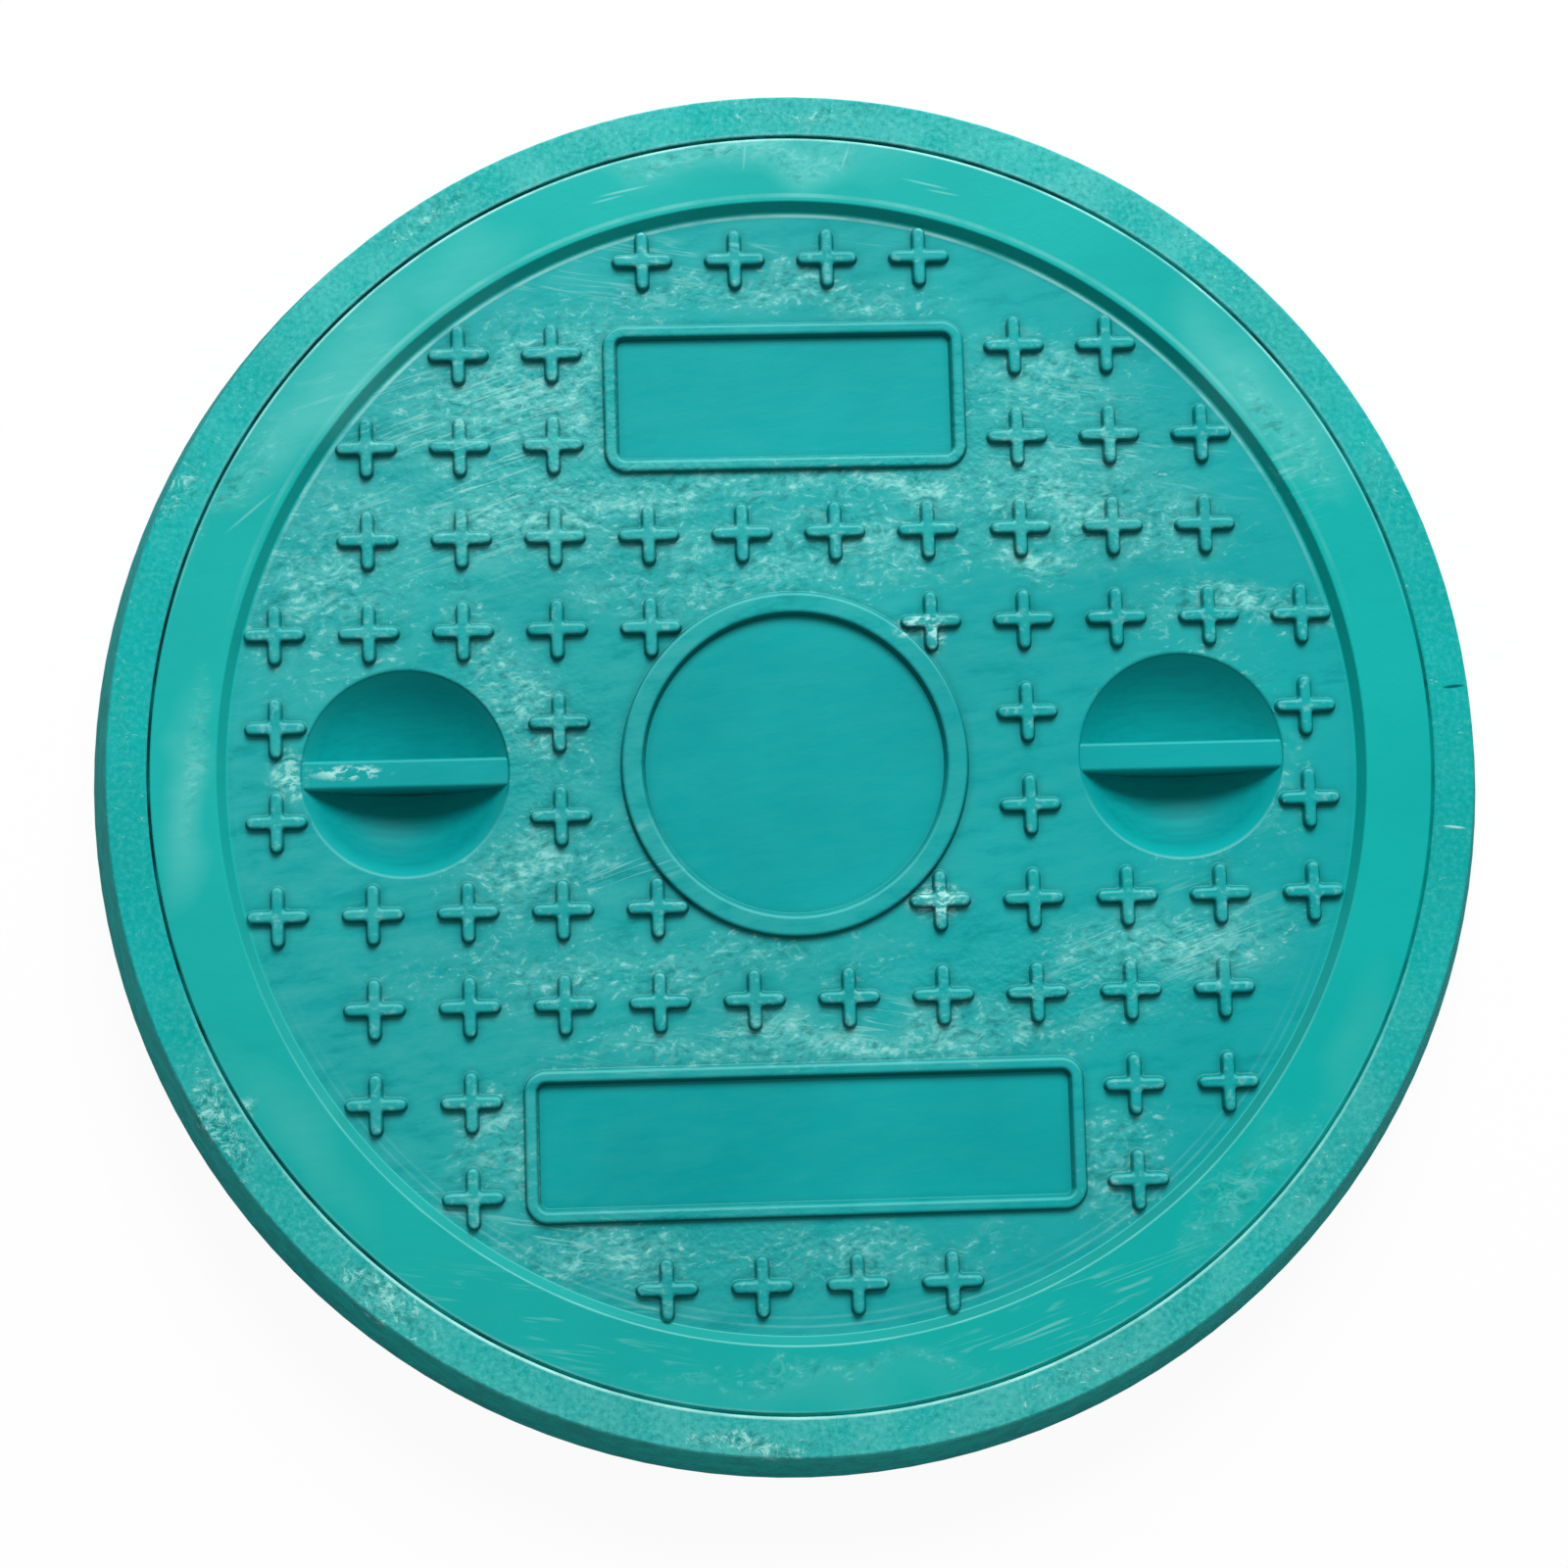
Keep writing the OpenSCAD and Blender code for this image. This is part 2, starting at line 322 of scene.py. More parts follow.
def joined(graph, *parts):
    made = graph.node("GeometryNodeJoinGeometry")
    for part in parts:
        graph.tree.links.new(part, made.inputs[0])
    return made.outputs[0]


def moved(graph, geometry, **distances):
    return graph.node(
        "GeometryNodeTransform", {"Geometry": geometry, "Translation": graph.along(**distances)}
    ).outputs[0]


def in_a_row(graph, geometry, copies, apart):
    """Repeats a shape along X, centred on the middle of the cover."""
    first = graph.math("MULTIPLY", graph.math("SUBTRACT", copies, 1.0), graph.math("MULTIPLY", apart, -0.5))
    row = graph.node(
        "GeometryNodeMeshLine",
        {"Count": copies, "Start Location": graph.along(x=first), "Offset": graph.along(x=apart)},
    )
    placed = graph.node("GeometryNodeInstanceOnPoints", {"Points": row.outputs[0], "Instance": geometry})
    return graph.node("GeometryNodeRealizeInstances", {"Geometry": placed.outputs[0]}).outputs[0]


def round_path(graph, radius, segments):
    return graph.node(
        "GeometryNodeCurvePrimitiveCircle", {"Radius": radius, "Resolution": segments}
    ).outputs[0]


def box_path(graph, long_side, short_side, corner, middle):
    """A rectangle with rounded corners, moved along Y."""
    square = graph.node("GeometryNodeCurvePrimitiveQuadrilateral", {"Width": long_side, "Height": short_side})
    values = {"Curve": square.outputs[0], "Count": CORNER_STEPS, "Radius": corner}
    return moved(graph, graph.node("GeometryNodeFilletCurve", values, mode="POLY").outputs[0], y=middle)


def plate_paths(graph, given):
    """The lines that the ridges around the short and the long plate follow."""
    below = graph.math("MULTIPLY", given["Middle"], -1.0)
    return (
        box_path(graph, given["Short Length"], given["Width"], given["Corner"], given["Middle"]),
        box_path(graph, given["Long Length"], given["Width"], given["Corner"], below),
    )


def filled(graph, curves, height):
    """Fills closed curves, leaving the inner ones open, at one height."""
    face = graph.node("GeometryNodeFillCurve", {"Curve": joined(graph, *curves)}, mode="TRIANGLES")
    return moved(graph, face.outputs[0], z=height)


def turned_tree():
    """Turns a section around an upright axis, once or at two places in a row."""
    graph, given = shape_tree("Turned shape", ("Radius", "Apart"), counts=("Segments", "Copies"))
    ring = sweep(graph, round_path(graph, given["Radius"], given["Segments"]), given["Section"])
    return close_tree(graph, given, in_a_row(graph, ring, given["Copies"], given["Apart"]))


def drawn_tree():
    """Draws a section out into straight bars along X, at two places in a row."""
    graph, given = shape_tree("Straight webs", ("Length", "Apart"))
    half = graph.math("MULTIPLY", given["Length"], 0.5)
    back = graph.math("MULTIPLY", half, -1.0)
    path = graph.node(
        "GeometryNodeCurvePrimitiveLine", {"Start": graph.along(x=back), "End": graph.along(x=half)}
    ).outputs[0]
    bar = sweep(graph, path, given["Section"], caps=True)
    return close_tree(graph, given, in_a_row(graph, bar, 2, given["Apart"]))


def ridge_tree():
    """Leads the ridge's section around both marking plates."""
    graph, given = shape_tree("Plate ridges", PLATE_LINES)
    return close_tree(graph, given, sweep(graph, joined(graph, *plate_paths(graph, given)), given["Section"]))


def field_tree():
    """Fills the field around everything that stands on it, and the floors inside the raised lines."""
    sizes = ("Radius", "Height", "Floor Height", "Boss Radius", "Recess Middle", "Recess Radius", *PLATE_LINES)
    graph, given = shape_tree("Field and floors", sizes)
    boss = round_path(graph, given["Boss Radius"], BOSS_STEPS)
    plates = plate_paths(graph, given)
    edge = round_path(graph, given["Radius"], EDGE_STEPS)
    recess = round_path(graph, given["Recess Radius"], RECESS_STEPS)
    holes = in_a_row(graph, recess, 2, graph.math("MULTIPLY", given["Recess Middle"], 2.0))
    field = filled(graph, [edge, boss, *plates, holes], given["Height"])
    floors = [filled(graph, [line], given["Floor Height"]) for line in (boss, *plates)]
    return close_tree(graph, given, joined(graph, field, *floors))


def cross_tree():
    """Sets crosses on a square grid at half spacings, wherever the field is free."""
    sizes = (
        "Pitch", "Reach", "Height", "Boss Reach", "Recess Middle", "Recess Reach",
        "Short Reach", "Long Reach", "Plate Reach", "Plate Middle",
    )
    graph, given = shape_tree("Grip crosses", sizes)
    half_count = graph.math("CEIL", graph.math("DIVIDE", given["Reach"], given["Pitch"]))
    count = graph.math("MULTIPLY", half_count, 2.0)
    side = graph.math("MULTIPLY", graph.math("SUBTRACT", count, 1.0), given["Pitch"])
    grid = graph.node(
        "GeometryNodeMeshGrid", {"Size X": side, "Size Y": side, "Vertices X": count, "Vertices Y": count}
    )
    place = graph.node("ShaderNodeSeparateXYZ", {0: graph.node("GeometryNodeInputPosition").outputs[0]}).outputs
    x, y = graph.math("ABSOLUTE", place["X"]), place["Y"]
    out = graph.vector("LENGTH", graph.along(place["X"], y))
    from_recess = graph.vector("LENGTH", graph.along(graph.math("SUBTRACT", x, given["Recess Middle"]), y))

    def on_plate(reach, middle):
        near_x = graph.math("LESS_THAN", x, reach)
        off = graph.math("ABSOLUTE", graph.math("SUBTRACT", y, middle))
        near_y = graph.math("LESS_THAN", off, given["Plate Reach"])
        return graph.math("MULTIPLY", near_x, near_y)

    taken = graph.math("GREATER_THAN", out, given["Reach"])
    for one in (
        graph.math("LESS_THAN", out, given["Boss Reach"]),
        graph.math("LESS_THAN", from_recess, given["Recess Reach"]),
        on_plate(given["Short Reach"], given["Plate Middle"]),
        on_plate(given["Long Reach"], graph.math("MULTIPLY", given["Plate Middle"], -1.0)),
    ):
        taken = graph.math("MAXIMUM", taken, one)
    free = graph.node("GeometryNodeDeleteGeometry", {"Geometry": grid.outputs[0], "Selection": taken}, domain="POINT")
    lifted = moved(graph, free.outputs[0], z=given["Height"])
    placed = graph.node("GeometryNodeInstanceOnPoints", {"Points": lifted, "Instance": given["Section"]})
    return close_tree(graph, given, placed.outputs[0])


def shaped(name, seed, tree, values):
    """Runs a geometry tree on a seed mesh and returns the result as a plain piece."""
    holder = bpy.data.objects.new(name + "_seed", seed)
    bpy.context.scene.collection.objects.link(holder)
    modifier = holder.modifiers.new(tree.name, "NODES")
    modifier.node_group = tree
    for item in tree.interface.items_tree:
        if item.in_out == "INPUT" and item.name in values:
            modifier[item.identifier] = values[item.name]
    bpy.context.view_layer.update()
    ready = holder.evaluated_get(bpy.context.evaluated_depsgraph_get())
    mesh = bpy.data.meshes.new_from_object(ready)
    bpy.data.objects.remove(holder)
    if not mesh.polygons:
        raise RuntimeError(f"{name} came out empty")
    return piece(name, mesh)


def turned(name, section, radius, steps, finish, copies=1, apart=0.0):
    """A section turned around an upright axis, at the given radius."""
    values = {"Radius": radius, "Segments": steps, "Copies": copies, "Apart": apart, "Finish": finish}
    return shaped(name, section, turned_tree(), values)


def piece(name, mesh):
    mesh.name = name
    made = bpy.data.objects.new(name, mesh)
    bpy.context.scene.collection.objects.link(made)
    return made


def fit(made, slot, *nodes):
    """Ties a piece to the object and hides the nodes that it stands for. The material slot is not used."""
    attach(made, "root")
    if nodes:
        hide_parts(*nodes)


# Sections that the trees sweep, and the meshes that are made point by point


def rounded(corners, steps=6, support=0.15 * MM):
    """Points along a bent line whose corners (across, up, radius) are rounded, with a support point beside each."""
    points = [Vector(corners[0][:2])]
    for before, here, after in zip(corners, corners[1:], corners[2:]):
        corner = Vector(here[:2])
        if here[2] <= 0:
            points.append(corner)
            continue
        back = (Vector(before[:2]) - corner).normalized()
        ahead = (Vector(after[:2]) - corner).normalized()
        half = back.angle(ahead) / 2
        run = here[2] / math.tan(half)
        centre = corner + (back + ahead).normalized() * here[2] / math.sin(half)
        start, end = corner + back * run - centre, corner + ahead * run - centre
        sweep_angle = start.angle_signed(end)
        points.append(corner + back * (run + support))
        for k in range(steps + 1):
            points.append(centre + Matrix.Rotation(-sweep_angle * k / steps, 2) @ start)
        points.append(corner + ahead * (run + support))
    points.append(Vector(corners[-1][:2]))
    return points


def section_mesh(name, points, closed=False):
    """A section as a line of edges. The sweep turns its second axis downwards, so heights go in negative."""
    mesh = bpy.data.meshes.new(name)
    edges = [(k, k + 1) for k in range(len(points) - 1)]
    if closed:
        edges.append((len(points) - 1, 0))
    mesh.from_pydata([(p.x, -p.y, 0.0) for p in points], edges, [])
    return mesh


def rim_section(path_radius):
    plate = plate_sizes()
    outer = plate.diameter / 2
    seat = plate.seat_height
    seat_outer = outer - math.tan(plate.side_draft) * (COVER_TOP - seat)
    inner = outer - plate.rim_width
    field = field_height()
    corners = [
        (seat_outer - SEAT_CHAMFER, seat, 0),
        (seat_outer, seat + SEAT_CHAMFER, 0),
        (outer, COVER_TOP, plate.edge_radius),
        (inner, COVER_TOP, plate.rim_edge_radius),
        (field_radius(), field - SUNK, STEP_FOOT_RADIUS),
        (field_radius() - RIM_LAP, field - 2 * SUNK, 0),
    ]
    return [Vector((p.x - path_radius, p.y)) for p in rounded(corners)]


def joint_section():
    """The dirt in the joint, measured from the cover's edge."""
    plate = plate_sizes()
    top = COVER_TOP - plate.dirt_depth
    bottom = top - plate.dirt_height
    inner, outer = -plate.dirt_inward, plate.dirt_outward
    return [Vector(corner) for corner in ((outer, top), (inner, top), (inner, bottom), (outer, bottom))]


def line_section(width, height):
    """A raised line across its middle: outside first, down to the floor inside."""
    relief = relief_sizes()
    run = math.tan(relief.draft)
    field, floor = field_height(), floor_height()
    outer, inner = width / 2, -width / 2
    corners = [
        (outer + LINE_LAP, field - 2 * SUNK, 0),
        (outer, field - SUNK, relief.foot_radius),
        (outer - run * height, field + height, relief.top_radius),
        (inner + run * height, field + height, relief.top_radius),
        (inner - run * (field - floor), floor - SUNK, relief.foot_radius),
        (inner - LINE_LAP, floor - 2 * SUNK, 0),
    ]
    return rounded(corners, steps=5, support=0.08 * MM)


def bowl_section(path_radius):
    """From the lip, which eases into the field, down to the middle of the bowl."""
    recess = recess_sizes()
    reach, depth, lip = recess.diameter / 2, recess.depth, recess.lip_radius
    radius = (reach**2 + depth**2) / (2 * depth)
    centre = Vector((0, field_height() - depth + radius))
    turn = Vector((0, field_height() - lip))
    turn.x = math.sqrt((radius + lip) ** 2 - (centre.y - turn.y) ** 2)
    start = math.atan2(centre.y - turn.y, -turn.x)
    points = [Vector((turn.x + LIP_LAP, field_height() - LIP_SUNK))]
    for k in range(LIP_STEPS + 1):
        angle = math.pi / 2 + (start - math.pi / 2) * k / LIP_STEPS
        points.append(turn + lip * Vector((math.cos(angle), math.sin(angle))))
    first = math.atan2(points[-1].y - centre.y, points[-1].x)
    for k in range(1, BOWL_STEPS + 1):
        angle = first + (-math.pi / 2 - first) * k / BOWL_STEPS
        points.append(centre + radius * Vector((math.cos(angle), math.sin(angle))))
    points[-1].x = 0.0
    return [Vector((p.x - path_radius, p.y)) for p in points], turn.x


def web_section():
    recess = recess_sizes()
    top = field_height() - recess.web_drop
    foot = top - recess.depth
    half = recess.web_width / 2
    lean = math.tan(recess.web_draft) * recess.depth
    corners = [
        (-half - lean, foot, 0),
        (-half, top, recess.web_radius),
        (half, top, recess.web_radius),
        (half + lean, foot, 0),
    ]
    return rounded(corners, steps=7)


def cross_mesh():
    """One cross as rings of points at equal distances from the middle lines of its arms."""
    cross = cross_sizes()
    half = cross.width / 2
    top_half = half - math.tan(cross.draft) * cross.height
    # The most that the top of an arm is rounded, in half widths, and how near a ring may come to its middle line
    roundest, nearest = 1.35, 0.12 * MM
    flank = rounded(
        [
            (0.0, cross.height, 0),
            (top_half, cross.height, min(cross.top_radius, top_half * roundest)),
            (half, -SUNK, cross.foot_radius),
            (half + CROSS_LAP, -2 * SUNK, 0),
        ],
        steps=3,
        support=0.04 * MM,
    )[1:]
    flank = [p for p in flank if p.x > nearest]
    reach = cross.length / 2 - half
    blend = 0.9 * MM

    def distance(x, y):
        first = math.hypot(max(abs(x) - reach, 0.0), y)
        second = math.hypot(x, max(abs(y) - reach, 0.0))
        near = max(blend - abs(first - second), 0.0) / blend
        return min(first, second) - near * near * blend / 4

    eighth = [0, 3, 6.5, 10, 14, 18.5, 24, 31, 38, 45]
    quarter = eighth + [90 - a for a in reversed(eighth[1:-1])]
    angles = [math.radians(a + 90 * q) for q in range(4) for a in quarter]
    vertices = [(0.0, 0.0, cross.height)]
    for level in flank:
        for angle in angles:
            low, high = 0.0, cross.length
            for _ in range(HALVINGS):
                middle = (low + high) / 2
                if distance(middle * math.cos(angle), middle * math.sin(angle)) < level.x:
                    low = middle
                else:
                    high = middle
            vertices.append((low * math.cos(angle), low * math.sin(angle), level.y))
    n = len(angles)
    faces = [(0, 1 + k, 1 + (k + 1) % n) for k in range(n)]
    for ring in range(len(flank) - 1):
        a, b = 1 + ring * n, 1 + (ring + 1) * n
        faces += [(a + k, b + k, b + (k + 1) % n, a + (k + 1) % n) for k in range(n)]
    mesh = bpy.data.meshes.new("cross")
    mesh.from_pydata(vertices, [], faces)
    return mesh


def underside_mesh():
    """A copy of the solid cover without its top, for the seat, the ribs and the pockets."""
    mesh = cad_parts["cover"].data.copy()
    plate, recess = plate_sizes(), recess_sizes()
    skin = field_height() - plate.skin
    # Faces of the wall, of a bowl and of the top are told apart with this much to spare
    wall_depth, bowl_spare, spare = 2 * MM, 1 * MM, 0.1 * MM
    work = bmesh.new()
    work.from_mesh(mesh)
    bmesh.ops.remove_doubles(work, verts=work.verts, dist=WELD)

    def on_top(face):
        middle = face.calc_center_median()
        out = math.hypot(middle.x, middle.y)
        from_recess = math.hypot(abs(middle.x) - recess_middle(), middle.y)
        over_bowl = from_recess < recess.diameter / 2 + recess.lip_radius
        in_bowl = over_bowl and middle.z > field_height() - recess.depth - bowl_spare
        wall = middle.z > plate.seat_height + spare and out > plate.diameter / 2 - wall_depth
        return in_bowl or wall or middle.z > skin + spare

    bmesh.ops.delete(work, geom=[f for f in work.faces if on_top(f)], context="FACES")
    work.to_mesh(mesh)
    work.free()
    mesh.materials.clear()
    return mesh


# Finishes: masks and patterns, where the wear lies, then one function for each kind of resin


def spots(graph, place, patches, hard=0.0):
    """A mask of soft round patches: x, y, half length, half width, turn in degrees and strength, in millimetres."""
    mask = None
    for x, y, long_half, wide_half, turn, strength in patches:
        local = graph.node(
            "ShaderNodeMapping",
            {
                "Vector": place,
                "Location": (x * MM, y * MM, 0.0),
                "Rotation": (0.0, 0.0, math.radians(turn)),
                "Scale": (long_half * MM, wide_half * MM, 10.0),
            },
            vector_type="TEXTURE",
        ).outputs[0]
        away = graph.vector("LENGTH", local)
        soft = graph.node(
            "ShaderNodeMapRange",
            {"Value": away, "From Min": 1.0, "From Max": hard, "To Min": 0.0, "To Max": strength},
            interpolation_type="SMOOTHSTEP",
        ).outputs[0]
        mask = soft if mask is None else graph.math("MAXIMUM", mask, soft)
    return mask


def noise(graph, place, size, detail=2.0, roughness=0.5, distortion=0.0, out=0):
    """Cloudy noise whose features are about size millimetres across."""
    values = {"Scale": 1.0 / (size * MM), "Detail": detail, "Roughness": roughness, "Distortion": distortion}
    return graph.node("ShaderNodeTexNoise", {"Vector": place, **values}).outputs[out]


def stretched(graph, place, turn, shrink):
    """The same place, squeezed along the direction that turn gives, so that patterns draw out along it."""
    return graph.node(
        "ShaderNodeMapping",
        {"Vector": place, "Rotation": (0.0, 0.0, math.radians(turn)), "Scale": (1.0 / shrink, 1.0, 1.0)},
        vector_type="TEXTURE",
    ).outputs[0]


def ramp(graph, value, low, high, start=0.0, end=1.0):
    return graph.node(
        "ShaderNodeMapRange",
        {"Value": value, "From Min": low, "From Max": high, "To Min": start, "To Max": end},
    ).outputs[0]


def contour(graph, value, level, width):
    """Thin lines where a noise passes through one level."""
    off = graph.math("ABSOLUTE", graph.math("SUBTRACT", value, level))
    return ramp(graph, off, width, width * 0.25)


# A Mix node's sockets for colours, which have the same names as those for numbers
MIX_FIRST, MIX_SECOND, MIX_RESULT = 6, 7, 2


def tint(graph, factor, base, over):
    first, second = (v if isinstance(v, bpy.types.NodeSocket) else (*v, 1.0) for v in (base, over))
    values = {"Factor": factor, MIX_FIRST: first, MIX_SECOND: second}
    return graph.node("ShaderNodeMix", values, data_type="RGBA").outputs[MIX_RESULT]


def new_finish(name):
    made = bpy.data.materials.new(name)
    made.use_nodes = True
    made.node_tree.nodes.clear()
    graph = Graph(made.node_tree)
    place = graph.node("ShaderNodeTexCoord").outputs["Object"]
    return made, graph, place


def close_finish(graph, base, roughness, specular, height):
    bump = graph.node("ShaderNodeBump", {"Height": height, "Strength": BUMP_STRENGTH, "Distance": BUMP_DISTANCE})
    shader = graph.node(
        "ShaderNodeBsdfPrincipled",
        {"Base Color": base, "Roughness": roughness, "Normal": bump.outputs[0], "Specular IOR Level": specular},
    )
    graph.node("ShaderNodeOutputMaterial", {"Surface": shader.outputs[0]})


# Where the field and the rim are worn, as patches for spots(): a pale film, scuffs, chalky chips, long scratches
# that rise or fall to the right, and single marks. Rings are lines of painted highlight beside edges; each gives a
# radius, half a width and two strengths, on the sides of the short and the long plate. The relief keeps to the rough
# patches, or is everywhere when there are none. The numbers are the strength of brush marks, dust and flecks, what is
# left of scuffs on raised parts, and the relief
FIELD_WEAR = {
    "film": [
        (-66, 68, 84, 58, 0, 0.8), (66, 66, 66, 44, 0, 0.6), (0, -64, 100, 16, 0, 0.55), (-60, -112, 50, 24, 0, 0.55),
        (88, -46, 44, 20, 0, 0.6),
    ],
    "scuffs": [
        (-62, 92, 48, 26, 18, 0.85), (-50, 62, 66, 15, 10, 0.95), (18, 65, 60, 9, -2, 1.0),
        (-5, 112, 64, 8, 2, 0.75), (-24, 44, 40, 10, 8, 0.8), (-66, 20, 36, 13, 128, 0.95),
        (-62, -22, 32, 18, 22, 0.95), (72, 58, 48, 17, -8, 0.9), (104, 34, 34, 9, 0, 1.0),
        (86, -46, 40, 12, 8, 0.95), (12, -65, 92, 9, 2, 0.95), (-70, -88, 16, 22, 0, 1.0),
        (-48, -114, 34, 11, 0, 1.0), (12, -114, 50, 9, 0, 0.65), (-108, 44, 28, 36, 0, 0.75),
        (62, 90, 32, 18, 0, 0.7), (0, 50, 96, 16, 0, 0.65), (60, 44, 14, 8, 0, 1.2),
        (-40, -46, 80, 13, 0, 0.65), (96, 0, 28, 44, 0, 0.45), (74, -94, 18, 18, 0, 0.65),
    ],
    "chips": [
        (-104, 0.5, 14, 2.8, 0, 1.6), (30, 32, 9.5, 4, 10, 1.7), (34, 30, 4, 7, 0, 1.2), (32, -33, 10, 6, 0, 1.8),
        (-118, 0, 7, 10, 0, 0.9),
    ],
    "rising": [(-72, 76, 60, 40, 20, 1.0), (85, -45, 48, 20, 10, 0.8), (-45, -22, 34, 12, 10, 0.8)],
    "falling": [
        (75, 75, 48, 26, -15, 0.8), (0, -62, 84, 12, 5, 0.7), (-30, 120, 74, 12, 5, 0.6),
        (-60, -110, 52, 22, -20, 0.8),
    ],
    "marks": [],
    "rings": [(131.8, 0.2, 0.5, 0.0), (130.4, 0.1, 0.0, 0.16), (128.4, 0.1, 0.0, 0.1)],
    "smear": 1.0,
    "dust": 0.34,
    "flecks": 1.0,
    "raised": 0.2,
    "peel": 5.0,
    "rough": [
        (-52, 74, 84, 48, 10, 1.0), (50, 72, 72, 34, -8, 0.9), (-68, 6, 40, 44, 0, 0.9), (62, -52, 74, 24, 4, 0.9),
        (-22, -112, 74, 22, 0, 0.9),
    ],
}
RIM_WEAR = {
    "film": [
        (-106, 92, 54, 16, 49, 1.2), (-142, -4, 10, 38, 0, 1.15), (-5, 145, 62, 10, 0, 1.15),
        (112, 86, 40, 14, -52, 1.1), (128, -70, 32, 10, 62, 0.3), (-116, -84, 48, 14, 126, 0.55),
        (0, -145, 74, 9, 0, 0.4), (-80, 118, 34, 13, 35, 0.8),
    ],
    "scuffs": [
        (-10, 145, 44, 6, 0, 0.7), (-128, 70, 8, 30, -35, 0.55), (100, -104, 8, 34, -45, 0.55),
        (118, 76, 6, 26, 32, 0.5), (0, -141, 60, 4, 0, 0.4), (-140, 5, 6, 26, 0, 0.5),
    ],
    "chips": [(-128.5, -77, 3.5, 5, -30, 0.9)],
    "rising": [(60, -128, 50, 12, 20, 0.6), (118, 66, 22, 20, 30, 0.4), (-110, 95, 30, 20, 38, 0.35)],
    "falling": [(-60, -128, 50, 12, -20, 0.5)],
    "marks": [
        (-37, 137.6, 7.5, 0.4, 12, 0.6), (-41, 135.6, 5, 0.35, 14, 0.5), (35, 138.2, 7, 0.35, -14, 0.55),
        (39, 136.0, 5, 0.35, -12, 0.45), (-8, 146, 5, 0.4, 84, 0.4), (16, 145, 4, 0.4, 70, 0.45),
        (-126, 62, 9, 0.45, 40, 0.4), (52, -134, 11, 0.4, 18, 0.35),
    ],
    "rings": [(149.7, 0.2, 0.75, 0.2), (136.0, 0.3, 0.2, 0.0), (134.5, 0.2, 0.0, 0.25)],
    "smear": 0.2,
    "dust": 0.14,
    "flecks": 0.5,
    "raised": 1.0,
    "peel": 0.3,
    "rough": [],
}
# Clusters of pale crumbs on the frame, and marks that cross it, dark and pale
CRUMBS = [
    (-134, -80, 22, 8, 118, 1.1), (-97, -122, 26, 8, 140, 1.0), (-15, -156, 28, 5, 176, 1.1),
    (-142, 66, 22, 6, 64, 0.7), (-84, 133, 26, 6, 32, 0.7), (10, 157, 40, 5, 0, 0.6),
    (140, 66, 22, 6, -62, 0.5), (60, -144, 30, 5, 22, 0.6), (118, -102, 26, 6, 48, 0.5),
    (-156, 10, 6, 30, 0, 0.4), (100, 120, 30, 5, -40, 0.5),
]
DARK_MARKS = [(156, 14.4, 3.4, 0.55, 5, 0.9)]
PALE_MARKS = [(154.6, -19, 3.2, 0.5, -7, 0.9)]


def swirl(graph, place, size, reach):
    """The same place, pushed about by cloudy noise, so that straight outlines turn ragged."""
    cloud = noise(graph, place, size, detail=1.0, out=1)
    push = graph.vector("SUBTRACT", cloud, (0.5, 0.5, 0.5))
    return graph.vector("ADD", place, graph.vector("MULTIPLY", push, (reach * MM, reach * MM, 0.0)))


def within(graph, value, middle, half, soft):
    """1 where a value is nearer to the middle than half, eased to 0."""
    off = graph.math("ABSOLUTE", graph.math("SUBTRACT", value, middle))
    return ramp(graph, off, half + soft, half)


def product(graph, *factors):
    total = factors[0]
    for factor in factors[1:]:
        total = graph.math("MULTIPLY", total, factor)
    return total


def most(graph, *values):
    total = values[0]
    for value in values[1:]:
        total = graph.math("MAXIMUM", total, value)
    return total


def worn(graph, mask, strength, base, over):
    """Colours a surface where it is worn, as strongly as the setting for wear says."""
    share = graph.math("MULTIPLY", mask, finish_settings().wear * strength, clamp=True)
    return tint(graph, share, base, over)


def scratches(graph, place, turn, patches):
    """Fine long scratches within patches, with gaps."""
    along = stretched(graph, place, turn, 0.06)
    lines = contour(graph, noise(graph, along, 2.2, detail=2.0), 0.5, 0.032)
    gaps = ramp(graph, noise(graph, stretched(graph, place, turn, 0.4), 5.0, detail=2.0), 0.46, 0.6)
    return product(graph, lines, gaps, spots(graph, place, patches))


def facing(graph):
    """How far a surface looks up, and towards the short plate."""
    normal = graph.node("ShaderNodeTexCoord").outputs["Normal"]
    parts = graph.node("ShaderNodeSeparateXYZ", {0: normal}).outputs
    return parts["Z"], parts["Y"]


def rings(graph, out, side, lines):
    """Thin rings of painted highlight along edges. Side runs from -1 at the long plate to 1 at the short one."""
    total = None
    for radius, half, near_short, near_long in lines:
        share = ramp(graph, side, 0.2, 0.75, 0.0, near_short)
        share = graph.math("ADD", share, ramp(graph, side, -0.3, -0.85, 0.0, near_long))
        one = graph.math("MULTIPLY", within(graph, out, radius * MM, half * MM, 0.35 * MM), share)
        total = one if total is None else graph.math("MAXIMUM", total, one)
    return total


